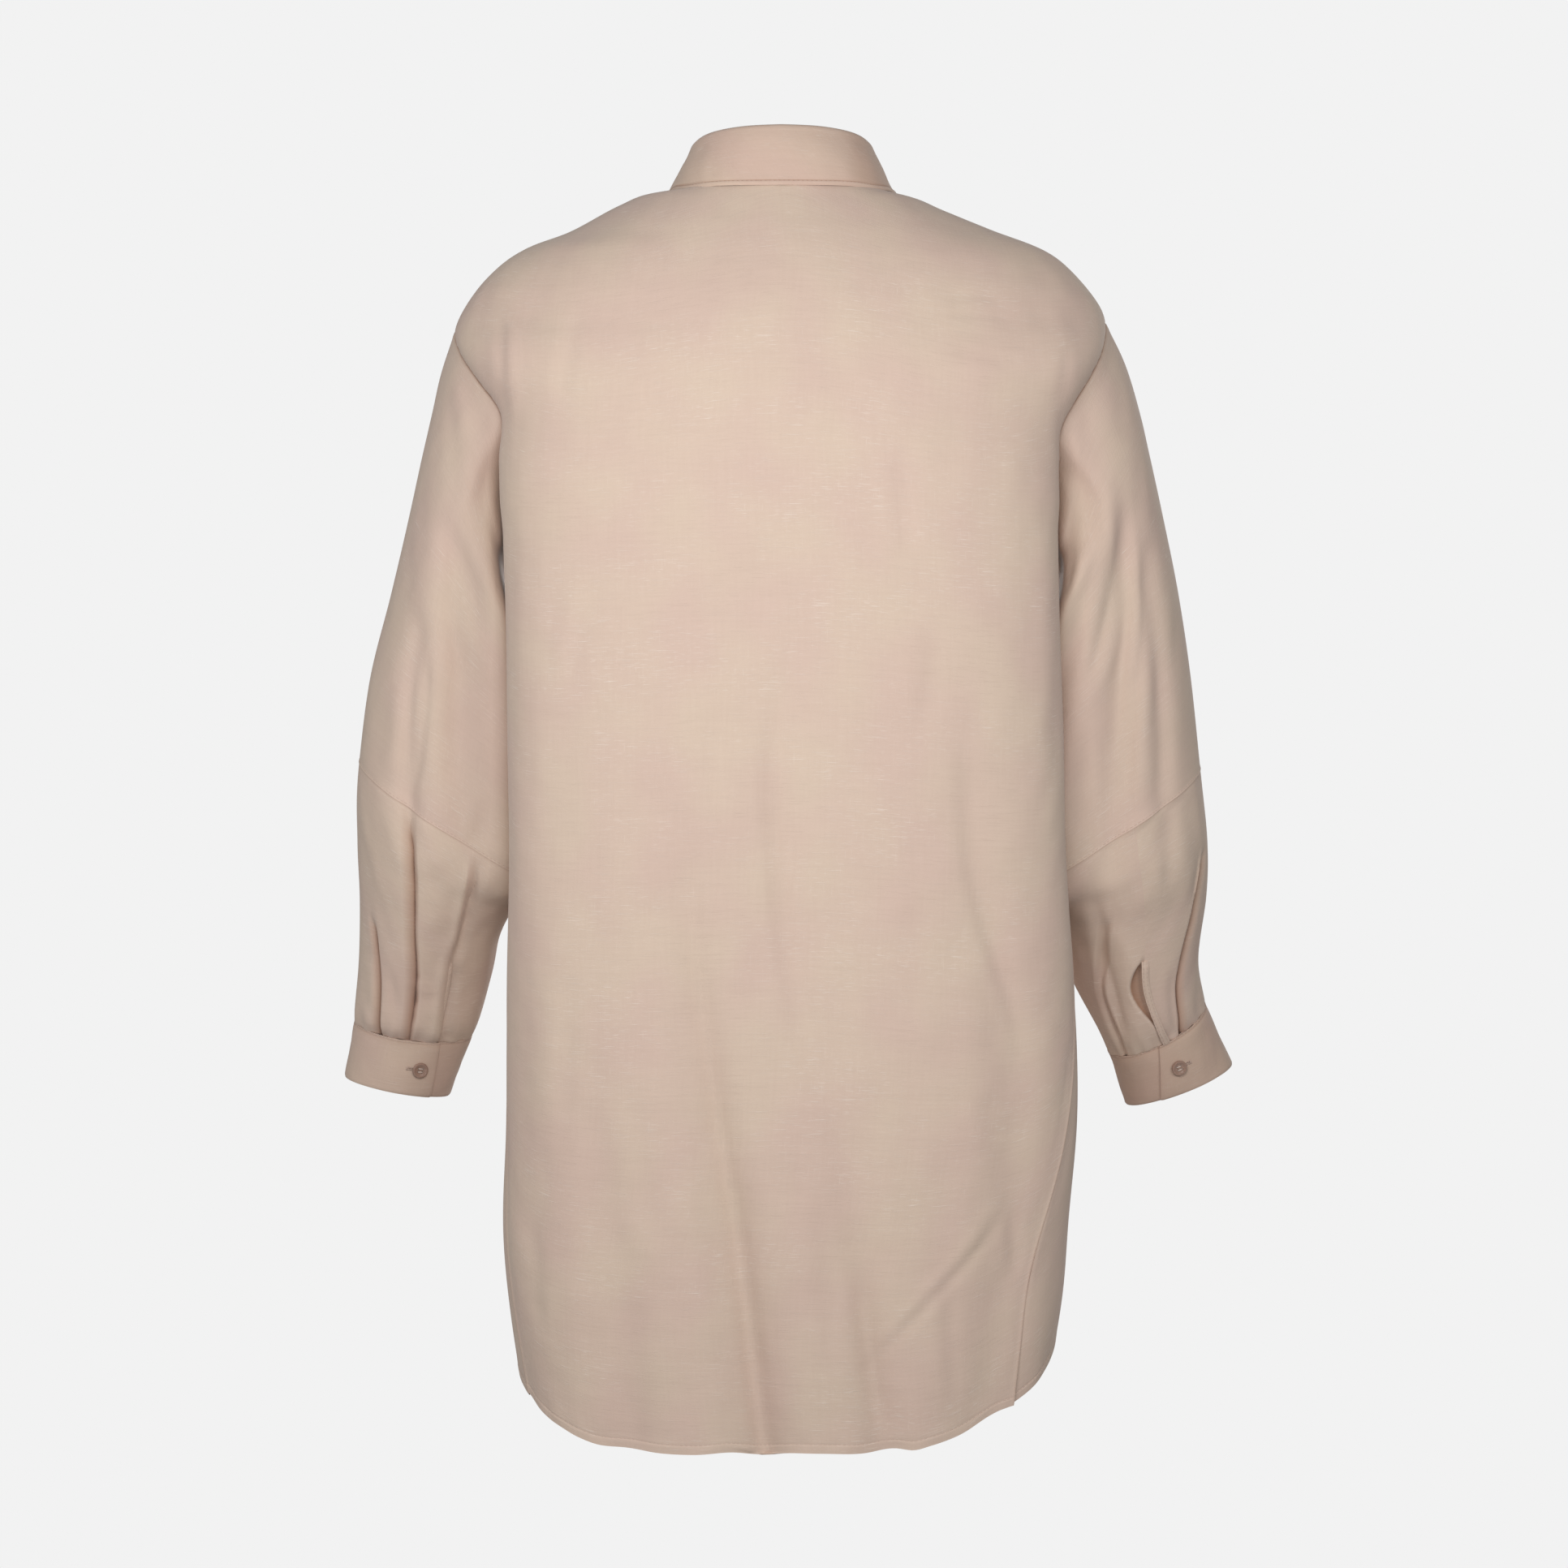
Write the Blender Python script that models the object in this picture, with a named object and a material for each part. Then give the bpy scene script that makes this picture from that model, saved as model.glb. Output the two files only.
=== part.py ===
"""A long sleeve shirt, filled out with no wearer: its cloth pieces as thin walls, in metres.

The front faces -Y and +X is the wearer's left. The origin lies in the middle of the neck opening, level with
the seam behind the neck. Heights along the torso are given as levels: 0 at the hem, 1 at the underarm, 2 at
the shoulder tip and 3 at the neck. Angles round the torso run from centre back, 0, to centre front, 180.
"""
import math

import bmesh
import bpy
import numpy as np
from mathutils import Matrix, Vector, kdtree

# Driving dimensions, in metres
CLOTH = 0.0012  # wall of one layer, felled seams and all
BAND = 0.0016  # wall of an interfaced band: cuffs and collar
GAP = 0.0003  # between two pieces that are sewn together
TRIM = 0.6 * GAP  # what each piece gives up at a seam: half the gap, and a little for the slant of its edge
LAYER = 0.0012  # how far each of two overlapping layers moves off their common surface
SLIT_LAYER = 0.0011  # the same at the edges of a sleeve's slit
FRONT_OVERLAP = 0.015  # each front runs this far past the centre line
BUTTON_WIDTH = 0.0115
BUTTON_HEIGHT = 0.0026
# Across a turned button's foot, side, raised rim and dish, as parts of its radius and height
BUTTON_PROFILE = ((0, 0), (0.9, 0), (1, 0.45), (0.9, 1), (0.72, 0.95), (0.58, 0.7), (0, 0.7))
FRONT_BUTTONS = 8
FIRST_BUTTON = -0.112  # height of the button below the collar
BUTTON_STEP = 0.086
UNDERARM = -0.25  # height of the side seam's top
SLIT_LENGTH = 0.34  # of the forearm, which runs from 1 at its seam to 2 at the cuff
BINDING_WIDTH = 0.007

# Numbers of strips that the walls are made of
BACK_STRIPS = 28
FRONT_STRIPS = 11
TORSO_ROWS = (0, 0.035, 0.09, 0.16, 0.23, 0.31, 0.39, 0.47, 0.55, 0.63, 0.71, 0.79, 0.87, 0.94, 1)
ARMHOLE_ROWS = 12
SHOULDER_ROWS = 5
SLEEVE_ROWS = (0, 0.07, 0.14, 0.22, 0.3, 0.4, 0.51, 0.63, 0.75, 0.88, 1)
FOREARM_STRIP = 15  # degrees between the pleats
CUFF_STRIPS = 33
BINDING_ROWS = 6
BUTTON_SIDES = 14
FOREARM_ROWS = (1, 1.1, 1.22, 1.34, 1.46, 1.58, 1.68, 1.78, 1.87, 1.94, 2)

# Colours (linear) and roughness of the finishes, and the angle in degrees from which an edge stays sharp
CLOTH_COLOUR = (0.62, 0.49, 0.42)
CLOTH_ROUGHNESS = 0.85
CLOTH_SHARP = 50
BUTTON_COLOUR = (0.28, 0.18, 0.15)
BUTTON_ROUGHNESS = 0.35
BUTTON_SHARP = 40

MEET = 1e-5  # points nearer than this are one
NEAR_ALONG = 0.05  # of a level or a sleeve's stretch, to either side of a point whose slope is measured
NEAR_ANGLE = 2  # the same, in degrees
LEVEL_SAMPLES = 601  # of the front's centre line, to find its levels from their heights


def table(columns, *rows):
    """The rows as one array for each named column."""
    return dict(zip(columns.split(), np.array(rows, float).T))


# The edge of the torso: half-widths left and right at the widest line, that line's place from front to
# back, and the angle and height at which back and fronts end: at side seam, armhole or shoulder seam.
EDGE = "level left right mid turn_left turn_right z_left z_right"
SIDE_SEAM = (
    (0.00, 0.188, 0.192, 0.010, 64, 50, -0.825, -0.818),
    (0.06, 0.193, 0.197, 0.012, 66, 50, -0.790, -0.784),
    (0.15, 0.198, 0.201, 0.016, 70, 52, -0.739, -0.733),
    (0.27, 0.196, 0.207, 0.022, 77, 62, -0.670, -0.665),
    (0.45, 0.195, 0.204, 0.032, 90, 82, -0.566, -0.563),
    (0.60, 0.193, 0.198, 0.040, 99, 96, -0.480, -0.477),
    (0.75, 0.194, 0.196, 0.046, 107, 106, -0.394, -0.392),
    (0.90, 0.195, 0.193, 0.050, 113, 113, -0.308, -0.307),
    (1.00, 0.197, 0.192, 0.050, 116, 116, UNDERARM, UNDERARM),
)
SHOULDER_SEAM = (
    (2.00, 0.2350, 0.2295, -0.010, 90, 90, -0.103, -0.097),
    (2.17, 0.2190, 0.2185, -0.010, 90, 90, -0.074, -0.076),
    (2.40, 0.1850, 0.1860, -0.009, 90, 90, -0.046, -0.047),
    (2.57, 0.1540, 0.1500, -0.008, 90, 90, -0.034, -0.033),
    (2.77, 0.1180, 0.1140, -0.007, 90, 90, -0.0150, -0.0185),
    (2.90, 0.0980, 0.0930, -0.006, 90, 90, -0.0075, -0.0100),
    (3.00, 0.0740, 0.0710, -0.006, 90, 90, -0.0065, -0.0065),
)
BACK_EDGE = table(
    EDGE,
    SIDE_SEAM[-1],
    (1.15, 0.199, 0.193, 0.050, 108, 108, -0.232, -0.232),
    (1.37, 0.200, 0.193, 0.047, 98, 98, -0.200, -0.202),
    (1.59, 0.201, 0.198, 0.042, 90, 90, -0.163, -0.170),
    (1.72, 0.217, 0.216, 0.032, 90, 90, -0.141, -0.140),
    (1.88, 0.231, 0.227, 0.012, 90, 90, -0.119, -0.116),
    *SHOULDER_SEAM,
)
FRONT_EDGE = table(
    EDGE,
    SIDE_SEAM[-1],
    (1.15, 0.193, 0.190, -0.025, 104, 104, -0.236, -0.236),
    (1.37, 0.193, 0.190, -0.060, 94, 94, -0.204, -0.205),
    (1.59, 0.202, 0.199, -0.066, 90, 90, -0.168, -0.172),
    (1.72, 0.217, 0.216, -0.055, 90, 90, -0.143, -0.142),
    (1.88, 0.231, 0.227, -0.034, 90, 90, -0.119, -0.116),
    *SHOULDER_SEAM,
)
LOW_EDGE = table(EDGE, *SIDE_SEAM)
HIGH_EDGES = {"back": BACK_EDGE, "front": FRONT_EDGE}

# The centre lines: how far back or forward they lie, their height, and how square the torso's ring is there.
CENTRE = "level y z square"
CENTRES = {
    "back": table(
        CENTRE,
        (0.0, 0.134, -0.890, 2.7),
        (0.5, 0.131, -0.570, 2.8),
        (1.0, 0.130, UNDERARM, 2.6),
        (1.5, 0.126, -0.172, 2.35),
        (2.0, 0.112, -0.106, 2.1),
        (2.5, 0.089, -0.050, 2.0),
        (3.0, 0.058, 0.001, 2.0),
    ),
    "front": table(
        CENTRE,
        (0.0, -0.126, -0.868, 2.4),
        (0.5, -0.130, -0.560, 2.7),
        (1.0, -0.134, UNDERARM, 2.9),
        (1.5, -0.131, -0.190, 2.2),
        (2.0, -0.117, -0.145, 2.0),
        (2.5, -0.096, -0.105, 2.0),
        (3.0, -0.070, -0.066, 2.0),
    ),
}

# The curved hem: its height round the torso on each side.
HEM = table(
    "angle left right",
    (0, -0.892, -0.892),
    (20, -0.893, -0.892),
    (35, -0.889, -0.883),
    (45, -0.882, -0.869),
    (55, -0.870, -0.853),
    (65, -0.856, -0.838),
    (75, -0.845, -0.826),
    (90, -0.826, -0.819),
    (110, -0.824, -0.822),
    (145, -0.852, -0.852),
    (180, -0.868, -0.868),
)

# Soft folds of the torso: a trough is plus. Its middle x and its width and depth change with the height z.
FOLD = "z x width depth"
FOLDS = {
    "back": (
        table(
            FOLD,
            (-0.89, 0.013, 0.021, 0.016),
            (-0.82, 0.023, 0.019, 0.014),
            (-0.74, 0.035, 0.018, 0.012),
            (-0.65, 0.049, 0.016, 0.009),
            (-0.55, 0.064, 0.015, 0.005),
            (-0.44, 0.071, 0.014, 0),
        ),
        table(
            FOLD,
            (-0.89, -0.072, 0.016, 0.009),
            (-0.77, -0.055, 0.016, 0.006),
            (-0.66, -0.040, 0.015, 0.003),
            (-0.56, -0.008, 0.015, 0.003),
            (-0.42, 0.006, 0.014, 0.002),
            (-0.33, 0.003, 0.014, 0),
        ),
        table(
            FOLD,
            (-0.86, -0.140, 0.020, 0.004),
            (-0.74, -0.158, 0.018, 0.005),
            (-0.60, -0.158, 0.018, 0.005),
            (-0.48, -0.134, 0.016, 0.003),
            (-0.36, -0.130, 0.016, 0),
        ),
        table(
            FOLD,
            (-0.88, 0.110, 0.022, 0.006),
            (-0.75, 0.118, 0.020, 0.004),
            (-0.60, 0.135, 0.020, 0.002),
            (-0.50, 0.140, 0.020, 0),
        ),
    ),
    "front": (
        table(
            FOLD,
            (-0.88, 0.070, 0.022, 0.013),
            (-0.75, 0.076, 0.020, 0.010),
            (-0.60, 0.084, 0.018, 0.006),
            (-0.40, 0.090, 0.016, 0),
        ),
        table(
            FOLD,
            (-0.88, -0.082, 0.022, 0.012),
            (-0.75, -0.078, 0.020, 0.010),
            (-0.58, -0.086, 0.018, 0.006),
            (-0.36, -0.094, 0.016, 0),
        ),
        table(FOLD, (-0.86, 0.146, 0.018, 0.006), (-0.70, 0.150, 0.016, 0.005), (-0.50, 0.152, 0.016, 0)),
        table(FOLD, (-0.86, -0.150, 0.018, 0.006), (-0.66, -0.146, 0.016, 0.004), (-0.46, -0.150, 0.016, 0)),
    ),
}

# No fold lies this near the widest line, in degrees, and this much further each one has its whole depth.
PLAIN_SIDE = 8
SIDE_FADE = 25

# The sleeves, from 0 at the armhole over 1 at the elbow seam to 2 at the cuff, whose edge is 3: the outer
# and inner end of each ring seen from behind, its middle and half-depth from front to back, and how many
# degrees its back tips down.
RING = "s outer_x outer_z inner_x inner_z mid depth tip"
SLEEVES = {
    "left": table(
        RING,
        (0.00, 0.235, -0.103, 0.184, -0.250, -0.017, 0.062, 0),
        (0.10, 0.246, -0.133, 0.198, -0.264, -0.028, 0.065, 1),
        (0.20, 0.253, -0.161, 0.200, -0.281, -0.034, 0.067, 2),
        (0.30, 0.260, -0.190, 0.197, -0.301, -0.038, 0.069, 3),
        (0.45, 0.270, -0.234, 0.193, -0.331, -0.043, 0.070, 4),
        (0.65, 0.284, -0.292, 0.190, -0.373, -0.048, 0.070, 6),
        (0.83, 0.299, -0.351, 0.189, -0.425, -0.051, 0.069, 8),
        (1.00, 0.307, -0.410, 0.189, -0.482, -0.054, 0.067, 10),
        (1.30, 0.309, -0.469, 0.196, -0.514, -0.062, 0.063, 12),
        (1.55, 0.308, -0.513, 0.207, -0.538, -0.071, 0.057, 13),
        (1.80, 0.310, -0.564, 0.214, -0.569, -0.080, 0.049, 14),
        (1.93, 0.313, -0.592, 0.223, -0.600, -0.084, 0.042, 15),
        (2.00, 0.313, -0.600, 0.228, -0.611, -0.087, 0.037, 13),
    ),
    "right": table(
        RING,
        (0.00, 0.2295, -0.097, 0.182, -0.250, -0.017, 0.062, 0),
        (0.10, 0.245, -0.127, 0.197, -0.264, -0.028, 0.065, 1),
        (0.20, 0.256, -0.161, 0.200, -0.281, -0.034, 0.067, 2),
        (0.30, 0.263, -0.190, 0.197, -0.301, -0.038, 0.069, 3),
        (0.45, 0.273, -0.234, 0.193, -0.331, -0.043, 0.070, 4),
        (0.65, 0.285, -0.292, 0.190, -0.373, -0.048, 0.070, 6),
        (0.83, 0.294, -0.351, 0.190, -0.425, -0.052, 0.069, 8),
        (1.00, 0.301, -0.415, 0.190, -0.484, -0.056, 0.067, 10),
        (1.30, 0.307, -0.471, 0.194, -0.514, -0.064, 0.063, 12),
        (1.55, 0.307, -0.507, 0.201, -0.537, -0.074, 0.057, 15),
        (1.80, 0.302, -0.558, 0.212, -0.573, -0.085, 0.049, 19),
        (1.93, 0.306, -0.580, 0.230, -0.606, -0.092, 0.042, 22),
        (2.00, 0.308, -0.589, 0.237, -0.622, -0.096, 0.037, 20),
    ),
}
CUFF_EDGES = {
    "left": table(RING, (3, 0.321, -0.641, 0.245, -0.655, -0.097, 0.037, 6)),
    "right": table(RING, (3, 0.329, -0.633, 0.251, -0.662, -0.113, 0.037, 9)),
}
CAP_BLEND = 0.35  # of the upper sleeve, over which the armhole's shape turns into the sleeve's own rings

# Pleats of the forearms: where they start, the angle round the sleeve there and at the cuff, and their
# depth at the middle and at the cuff. Angles run from the outer side, 0, over the back, 90, to the inner
# side, 180.
PLEAT = "start from_angle to_angle middle end"
PLEATS = {
    "left": table(
        PLEAT,
        (1.00, 70, 86, 0.007, 0.007),
        (1.55, 38, 56, 0.005, 0.006),
        (1.30, 250, 262, 0.003, 0.005),
        (1.25, 322, 306, 0.003, 0.005),
    ),
    "right": table(
        PLEAT,
        (1.28, 21, 60, 0.006, 0.007),
        (1.40, 112, 134, 0.004, 0.005),
        (1.30, 256, 268, 0.003, 0.005),
        (1.25, 322, 306, 0.003, 0.005),
    ),
}
PLEAT_HALF = 7  # degrees from a pleat's bottom to its lips
SLIT_ANGLE = {"left": 113, "right": 84}
SLIT_UNDER = 5  # degrees that the lower edge runs on under the upper one
SLIT_OVER = 2  # degrees that the upper edge runs on
CUFF_END = {"left": (119, 131), "right": (90, 112)}  # the angle of its outer end at the top and bottom edge
CUFF_BUTTON = {"left": 108, "right": 82}
CUFF_OVERLAP = 36  # degrees

# Soft folds of the upper sleeves: a trough's angle round the sleeve, its half-width in degrees and depth.
SLEEVE_FOLD = "s angle width depth"
FOLD_END = 0.25  # of the forearm, over which they end below the elbow seam
SLEEVE_FOLDS = {
    "left": (
        table(
            SLEEVE_FOLD,
            (0.20, 78, 16, 0),
            (0.45, 84, 14, 0.005),
            (0.70, 100, 13, 0.006),
            (1.00, 112, 12, 0.003),
        ),
        table(SLEEVE_FOLD, (0.50, 58, 9, 0), (0.80, 64, 8, 0.004), (1.00, 70, 8, 0.006)),
    ),
    "right": (
        table(
            SLEEVE_FOLD,
            (0.20, 70, 14, 0),
            (0.40, 72, 12, 0.006),
            (0.70, 88, 12, 0.008),
            (1.00, 104, 12, 0.004),
        ),
        table(
            SLEEVE_FOLD,
            (0.30, 118, 14, 0),
            (0.50, 128, 14, 0.008),
            (0.75, 140, 12, 0.005),
            (1.00, 146, 12, 0),
        ),
        table(SLEEVE_FOLD, (0.45, 50, 9, 0), (0.75, 56, 9, 0.005), (1.00, 62, 9, 0.004)),
    ),
}

# The collar round the neck: height of the stand's top, and the lower edge of the turned-down leaf.
COLLAR = table(
    "angle top_z edge_x edge_y edge_z",
    (0, 0.0335, 0.000, 0.0655, -0.0065),
    (30, 0.0325, 0.036, 0.0595, -0.0062),
    (60, 0.0290, 0.062, 0.0400, -0.0050),
    (90, 0.0205, 0.0790, 0.0060, -0.0035),
    (115, 0.0070, 0.0845, -0.0280, -0.0120),
    (140, -0.0120, 0.0800, -0.0650, -0.0440),
    (168, -0.0330, 0.0630, -0.0990, -0.0860),
    (192, -0.0360, 0.0630, -0.0990, -0.0860),
)
STAND_TOP = {"wide": 0.0605, "mid": -0.005, "deep": 0.058}
COLLAR_ASIDE = 0.0015  # the collar sits this far to the left
LEAF_ROLL = ((0.0, 0.0), (0.0008, 0.0020), (0.0030, 0.0030), (0.0050, 0.0014))  # out and up over the stand
LEAF_ROWS = 4
LEAF_BULGE = 0.0015


def smooth(xs, ys, x):
    """Values at x of a smooth curve through the points of xs and ys."""
    step = np.diff(xs)
    slope = np.diff(ys) / step
    inner = (slope[:-1] * step[1:] + slope[1:] * step[:-1]) / (step[:-1] + step[1:])
    tangent = np.concatenate([slope[:1], inner, slope[-1:]])
    x = np.clip(x, xs[0], xs[-1])
    i = np.clip(np.searchsorted(xs, x, side="right") - 1, 0, len(step) - 1)
    t = (x - xs[i]) / step[i]
    swing = t * (1 - t)
    return (
        ys[i] * (1 - t) + ys[i + 1] * t
        + swing * step[i] * ((tangent[i] - slope[i]) * (1 - t) - (tangent[i + 1] - slope[i]) * t)
    )


def read(rows, column, at):
    """A column of a table, at values of its first column."""
    return smooth(rows[next(iter(rows))], rows[column], at)


def ease(t):
    """From 0 to 1 with level ends."""
    t = np.clip(t, 0, 1)
    return t * t * (3 - 2 * t)


def rounded(angle, square):
    """Sine and cosine of an angle in degrees on a ring that is more square than a circle, which has 2."""
    sine, cosine = np.sin(np.radians(angle)), np.cos(np.radians(angle))
    size = (np.abs(sine) ** square + np.abs(cosine) ** square) ** (1 / square)
    return sine / size, cosine / size


def edge(half, column, level):
    """A column of the torso's edge, where both halves have the same one up to the underarm."""
    low, high = read(LOW_EDGE, column, level), read(HIGH_EDGES[half], column, level)
    return np.where(np.asarray(level) <= 1, low, high)


def edge_side(half, column, level, left):
    """A left or right column of the torso's edge."""
    return np.where(left, edge(half, column + "left", level), edge(half, column + "right", level))


def panel_turn(half, level, left):
    """The angle at which the back or a front ends on one side."""
    return edge_side(half, "turn_", level, left)


def fold_depth(folds, x, z):
    """How deep the soft folds are at places of the torso."""
    depth = np.zeros_like(x)
    for rows in folds:
        away = (x - read(rows, "x", z)) / read(rows, "width", z)
        reach = np.where(z < rows["z"][-1], 1, 0)
        depth += reach * read(rows, "depth", z) * np.exp(-away * away)
    return depth


def torso(half, level, angle, lift=0):
    """Points of the torso's cloth, moved out by lift."""
    level, angle = np.broadcast_arrays(np.asarray(level, float), np.asarray(angle, float))
    left = np.sin(np.radians(angle)) >= 0
    turn = np.degrees(np.arccos(np.clip(np.cos(np.radians(angle)), -1, 1)))
    wide = edge_side(half, "", level, left)
    mid = edge(half, "mid", level)
    behind = turn <= 90
    back, front = CENTRES["back"], CENTRES["front"]
    y_far = np.where(behind, read(back, "y", level), read(front, "y", level))
    square = np.where(behind, read(back, "square", level), read(front, "square", level))
    across, along = rounded(angle, square)
    hem = np.where(left, read(HEM, "left", turn), read(HEM, "right", turn))
    z_low = hem + (UNDERARM - hem) * level
    z_far = read(CENTRES[half], "z", level)
    z_edge = edge_side(half, "z_", level, left)
    end = panel_turn(half, level, left)
    part = turn / end if half == "back" else (180 - turn) / (180 - end)
    z_high = z_far + (z_edge - z_far) * np.sin(np.radians(90 * np.clip(part, 0, 1))) ** 2
    z = np.where(level <= 1, z_low, z_high)
    x, y = wide * across, mid + np.abs(y_far - mid) * along
    out_x, out_y = across * np.abs(y_far - mid), along * wide
    size = np.hypot(out_x, out_y)
    lift = lift - fold_depth(FOLDS[half], x, z) * ease((np.abs(turn - 90) - PLAIN_SIDE) / SIDE_FADE)
    return np.stack([x + out_x / size * lift, y + out_y / size * lift, z], -1)


def armhole(side, angle):
    """Points of the armhole seam: angle runs from the shoulder tip, 0, down the back to the underarm, 180."""
    angle = np.asarray(angle, float) % 360
    sign = 1 if side == "left" else -1
    points = np.empty(angle.shape + (3,))
    for half, here in (("back", angle <= 180), ("front", angle > 180)):
        level = 2 - np.where(half == "back", angle, 360 - angle)[here] / 180
        points[here] = torso(half, level, sign * panel_turn(half, level, side == "left"))
    return points


def sleeve_fold_depth(side, s, angle):
    """How deep the soft folds of the upper sleeve are."""
    depth = np.zeros_like(s)
    for rows in SLEEVE_FOLDS[side]:
        away = (angle - read(rows, "angle", s)) / read(rows, "width", s)
        depth += np.where(s > rows["s"][0], read(rows, "depth", s), 0) * np.exp(-away * away)
    return depth * (1 - ease((s - 1) / FOLD_END))


def sleeve_value(side, column, s):
    """A column of a sleeve's rings; the cuff runs straight from its seam to its edge."""
    value = read(SLEEVES[side], column, s)
    return value + (CUFF_EDGES[side][column][0] - value) * np.clip(s - 2, 0, 1)


def sleeve_ring(side, s, angle):
    """Middles of a sleeve's oval rings, and the points on them."""
    sign, none = (1 if side == "left" else -1), np.zeros_like(s)
    value = {column: sleeve_value(side, column, s) for column in RING.split()[1:]}
    outer = np.stack([sign * value["outer_x"], value["mid"], value["outer_z"]], -1)
    inner = np.stack([sign * value["inner_x"], value["mid"], value["inner_z"]], -1)
    tip = np.radians(value["tip"])
    deep = np.stack([none, value["depth"] * np.cos(tip), -value["depth"] * np.sin(tip)], -1)
    round_x, round_y = np.cos(np.radians(angle))[..., None], np.sin(np.radians(angle))[..., None]
    centre = (outer + inner) / 2
    return centre, centre + round_x * (outer - inner) / 2 + round_y * deep


def sleeve(side, s, angle, lift=0):
    """Points of a sleeve or cuff, moved out by lift."""
    s, angle = np.broadcast_arrays(np.asarray(s, float), np.asarray(angle, float))
    centre, points = sleeve_ring(side, s, angle)
    away = points - centre
    size = np.linalg.norm(away, axis=-1, keepdims=True)
    lift = lift - sleeve_fold_depth(side, s, angle % 360)
    fade = (1 - ease(s / CAP_BLEND))[..., None]
    cap = fade * (armhole(side, angle) - sleeve_ring(side, 0 * s, angle)[1])
    return points + away / size * np.asarray(lift)[..., None] + cap


def neck(angle):
    """Points of the neck seam."""
    half = np.degrees(np.arccos(np.cos(np.radians(angle)))) <= 90
    return np.where(half[..., None], torso("back", 3, angle), torso("front", 3, angle))


def stand_top(angle):
    """Points of the collar stand's upper edge."""
    across, along = rounded(angle, 2)
    turn = np.abs(angle)
    x, y = COLLAR_ASIDE + STAND_TOP["wide"] * across, STAND_TOP["mid"] + STAND_TOP["deep"] * along
    return np.stack([x, y, read(COLLAR, "top_z", turn)], -1)


def leaf_edge(angle):
    """Points of the collar leaf's lower edge."""
    turn = np.abs(angle)
    x = COLLAR_ASIDE + np.sign(angle) * read(COLLAR, "edge_x", turn)
    return np.stack([x, read(COLLAR, "edge_y", turn), read(COLLAR, "edge_z", turn)], -1)


def outward(angle):
    """Level directions out from the neck."""
    return np.stack([np.sin(np.radians(angle)), np.cos(np.radians(angle)), 0 * angle], -1)


def strips(rows, columns, mirror=False):
    """The four-sided faces of a grid of points, row by row."""
    faces = []
    for r in range(rows - 1):
        for c in range(columns - 1):
            a, b = r * columns + c, (r + 1) * columns + c
            face = (a, b, b + 1, a + 1)
            faces.append(face[::-1] if mirror else face)
    return faces


def closed_round(faces, rows, columns):
    """The faces with each row's last point made its first, in the given number of rows."""
    same = {r * columns + columns - 1: r * columns for r in range(rows)}
    return [tuple(same.get(i, i) for i in face) for face in faces]


class Piece:
    """One cloth piece: the points and faces of its middle surface, with its wall's thickness."""

    def __init__(self, name, points, faces, thick, held=None):
        """held names the directions of the wall's ends, by the number of the point."""
        used = sorted({i for face in faces for i in face})
        place = {i: k for k, i in enumerate(used)}
        self.name, self.thick = name, thick
        self.held = {place[i]: out for i, out in (held or {}).items() if i in place}
        self.points = np.asarray(points, float).reshape(-1, 3)[used]
        self.faces = [tuple(place[i] for i in face) for face in faces]
        self.normals = np.zeros_like(self.points)
        for face in self.faces:
            a, b, c, d = (self.points[i] for i in face)
            for i in face:
                self.normals[i] += np.cross(c - a, d - b)

    def rim(self):
        """The free edges, each running as its face does."""
        edges = {}
        for face in self.faces:
            for a, b in zip(face, face[1:] + face[:1]):
                edges[(a, b)] = face
        return {edge: face for edge, face in edges.items() if edge[::-1] not in edges}

    def trimmed(self):
        """The points, with the free edges drawn in by half the gap at a seam."""
        inward = np.zeros_like(self.points)
        for (a, b), face in self.rim().items():
            along = self.points[b] - self.points[a]
            along /= np.linalg.norm(along)
            middle = self.points[list(face)].mean(axis=0) - (self.points[a] + self.points[b]) / 2
            middle -= along * middle.dot(along)
            for i in (a, b):
                inward[i] += middle / np.linalg.norm(middle)
        size = np.linalg.norm(inward, axis=1, keepdims=True)
        return self.points + np.where(size > 0, inward / np.maximum(size, 1e-9), 0) * TRIM

    def solid(self, normals):
        """Its wall as a closed mesh."""
        points, count = self.trimmed(), len(self.points)
        normals = normals.copy()
        for i, out in self.held.items():
            normals[i] = out
        shift = normals * self.thick / 2
        faces = list(self.faces) + [tuple(i + count for i in face[::-1]) for face in self.faces]
        for a, b in self.rim():
            # The same diagonal as in the neighbour's wall, whose edge runs the other way
            if tuple(self.points[a]) < tuple(self.points[b]):
                faces += [(b, a, a + count), (b, a + count, b + count)]
            else:
                faces += [(b, a, b + count), (a, a + count, b + count)]
        return np.concatenate([points + shift, points - shift]), faces


def joint_normals(pieces):
    """Each piece's unit normals, shared where pieces meet so that their walls end in one plane."""
    points = np.concatenate([piece.points for piece in pieces])
    raw = np.concatenate([piece.normals for piece in pieces])
    raw /= np.linalg.norm(raw, axis=1, keepdims=True)
    tree = kdtree.KDTree(len(points))
    for i, point in enumerate(points):
        tree.insert(point, i)
    tree.balance()
    shared = np.array([raw[[i for _, i, _ in tree.find_range(point, MEET)]].sum(axis=0) for point in points])
    shared /= np.linalg.norm(shared, axis=1, keepdims=True)
    ends = np.cumsum([len(piece.points) for piece in pieces])
    return [shared[end - len(piece.points):end] for piece, end in zip(pieces, ends)]


def torso_levels():
    upper = [1 + k / ARMHOLE_ROWS for k in range(1, ARMHOLE_ROWS + 1)]
    top = [2 + k / SHOULDER_ROWS for k in range(1, SHOULDER_ROWS + 1)]
    return np.array(list(TORSO_ROWS) + upper + top)


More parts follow.
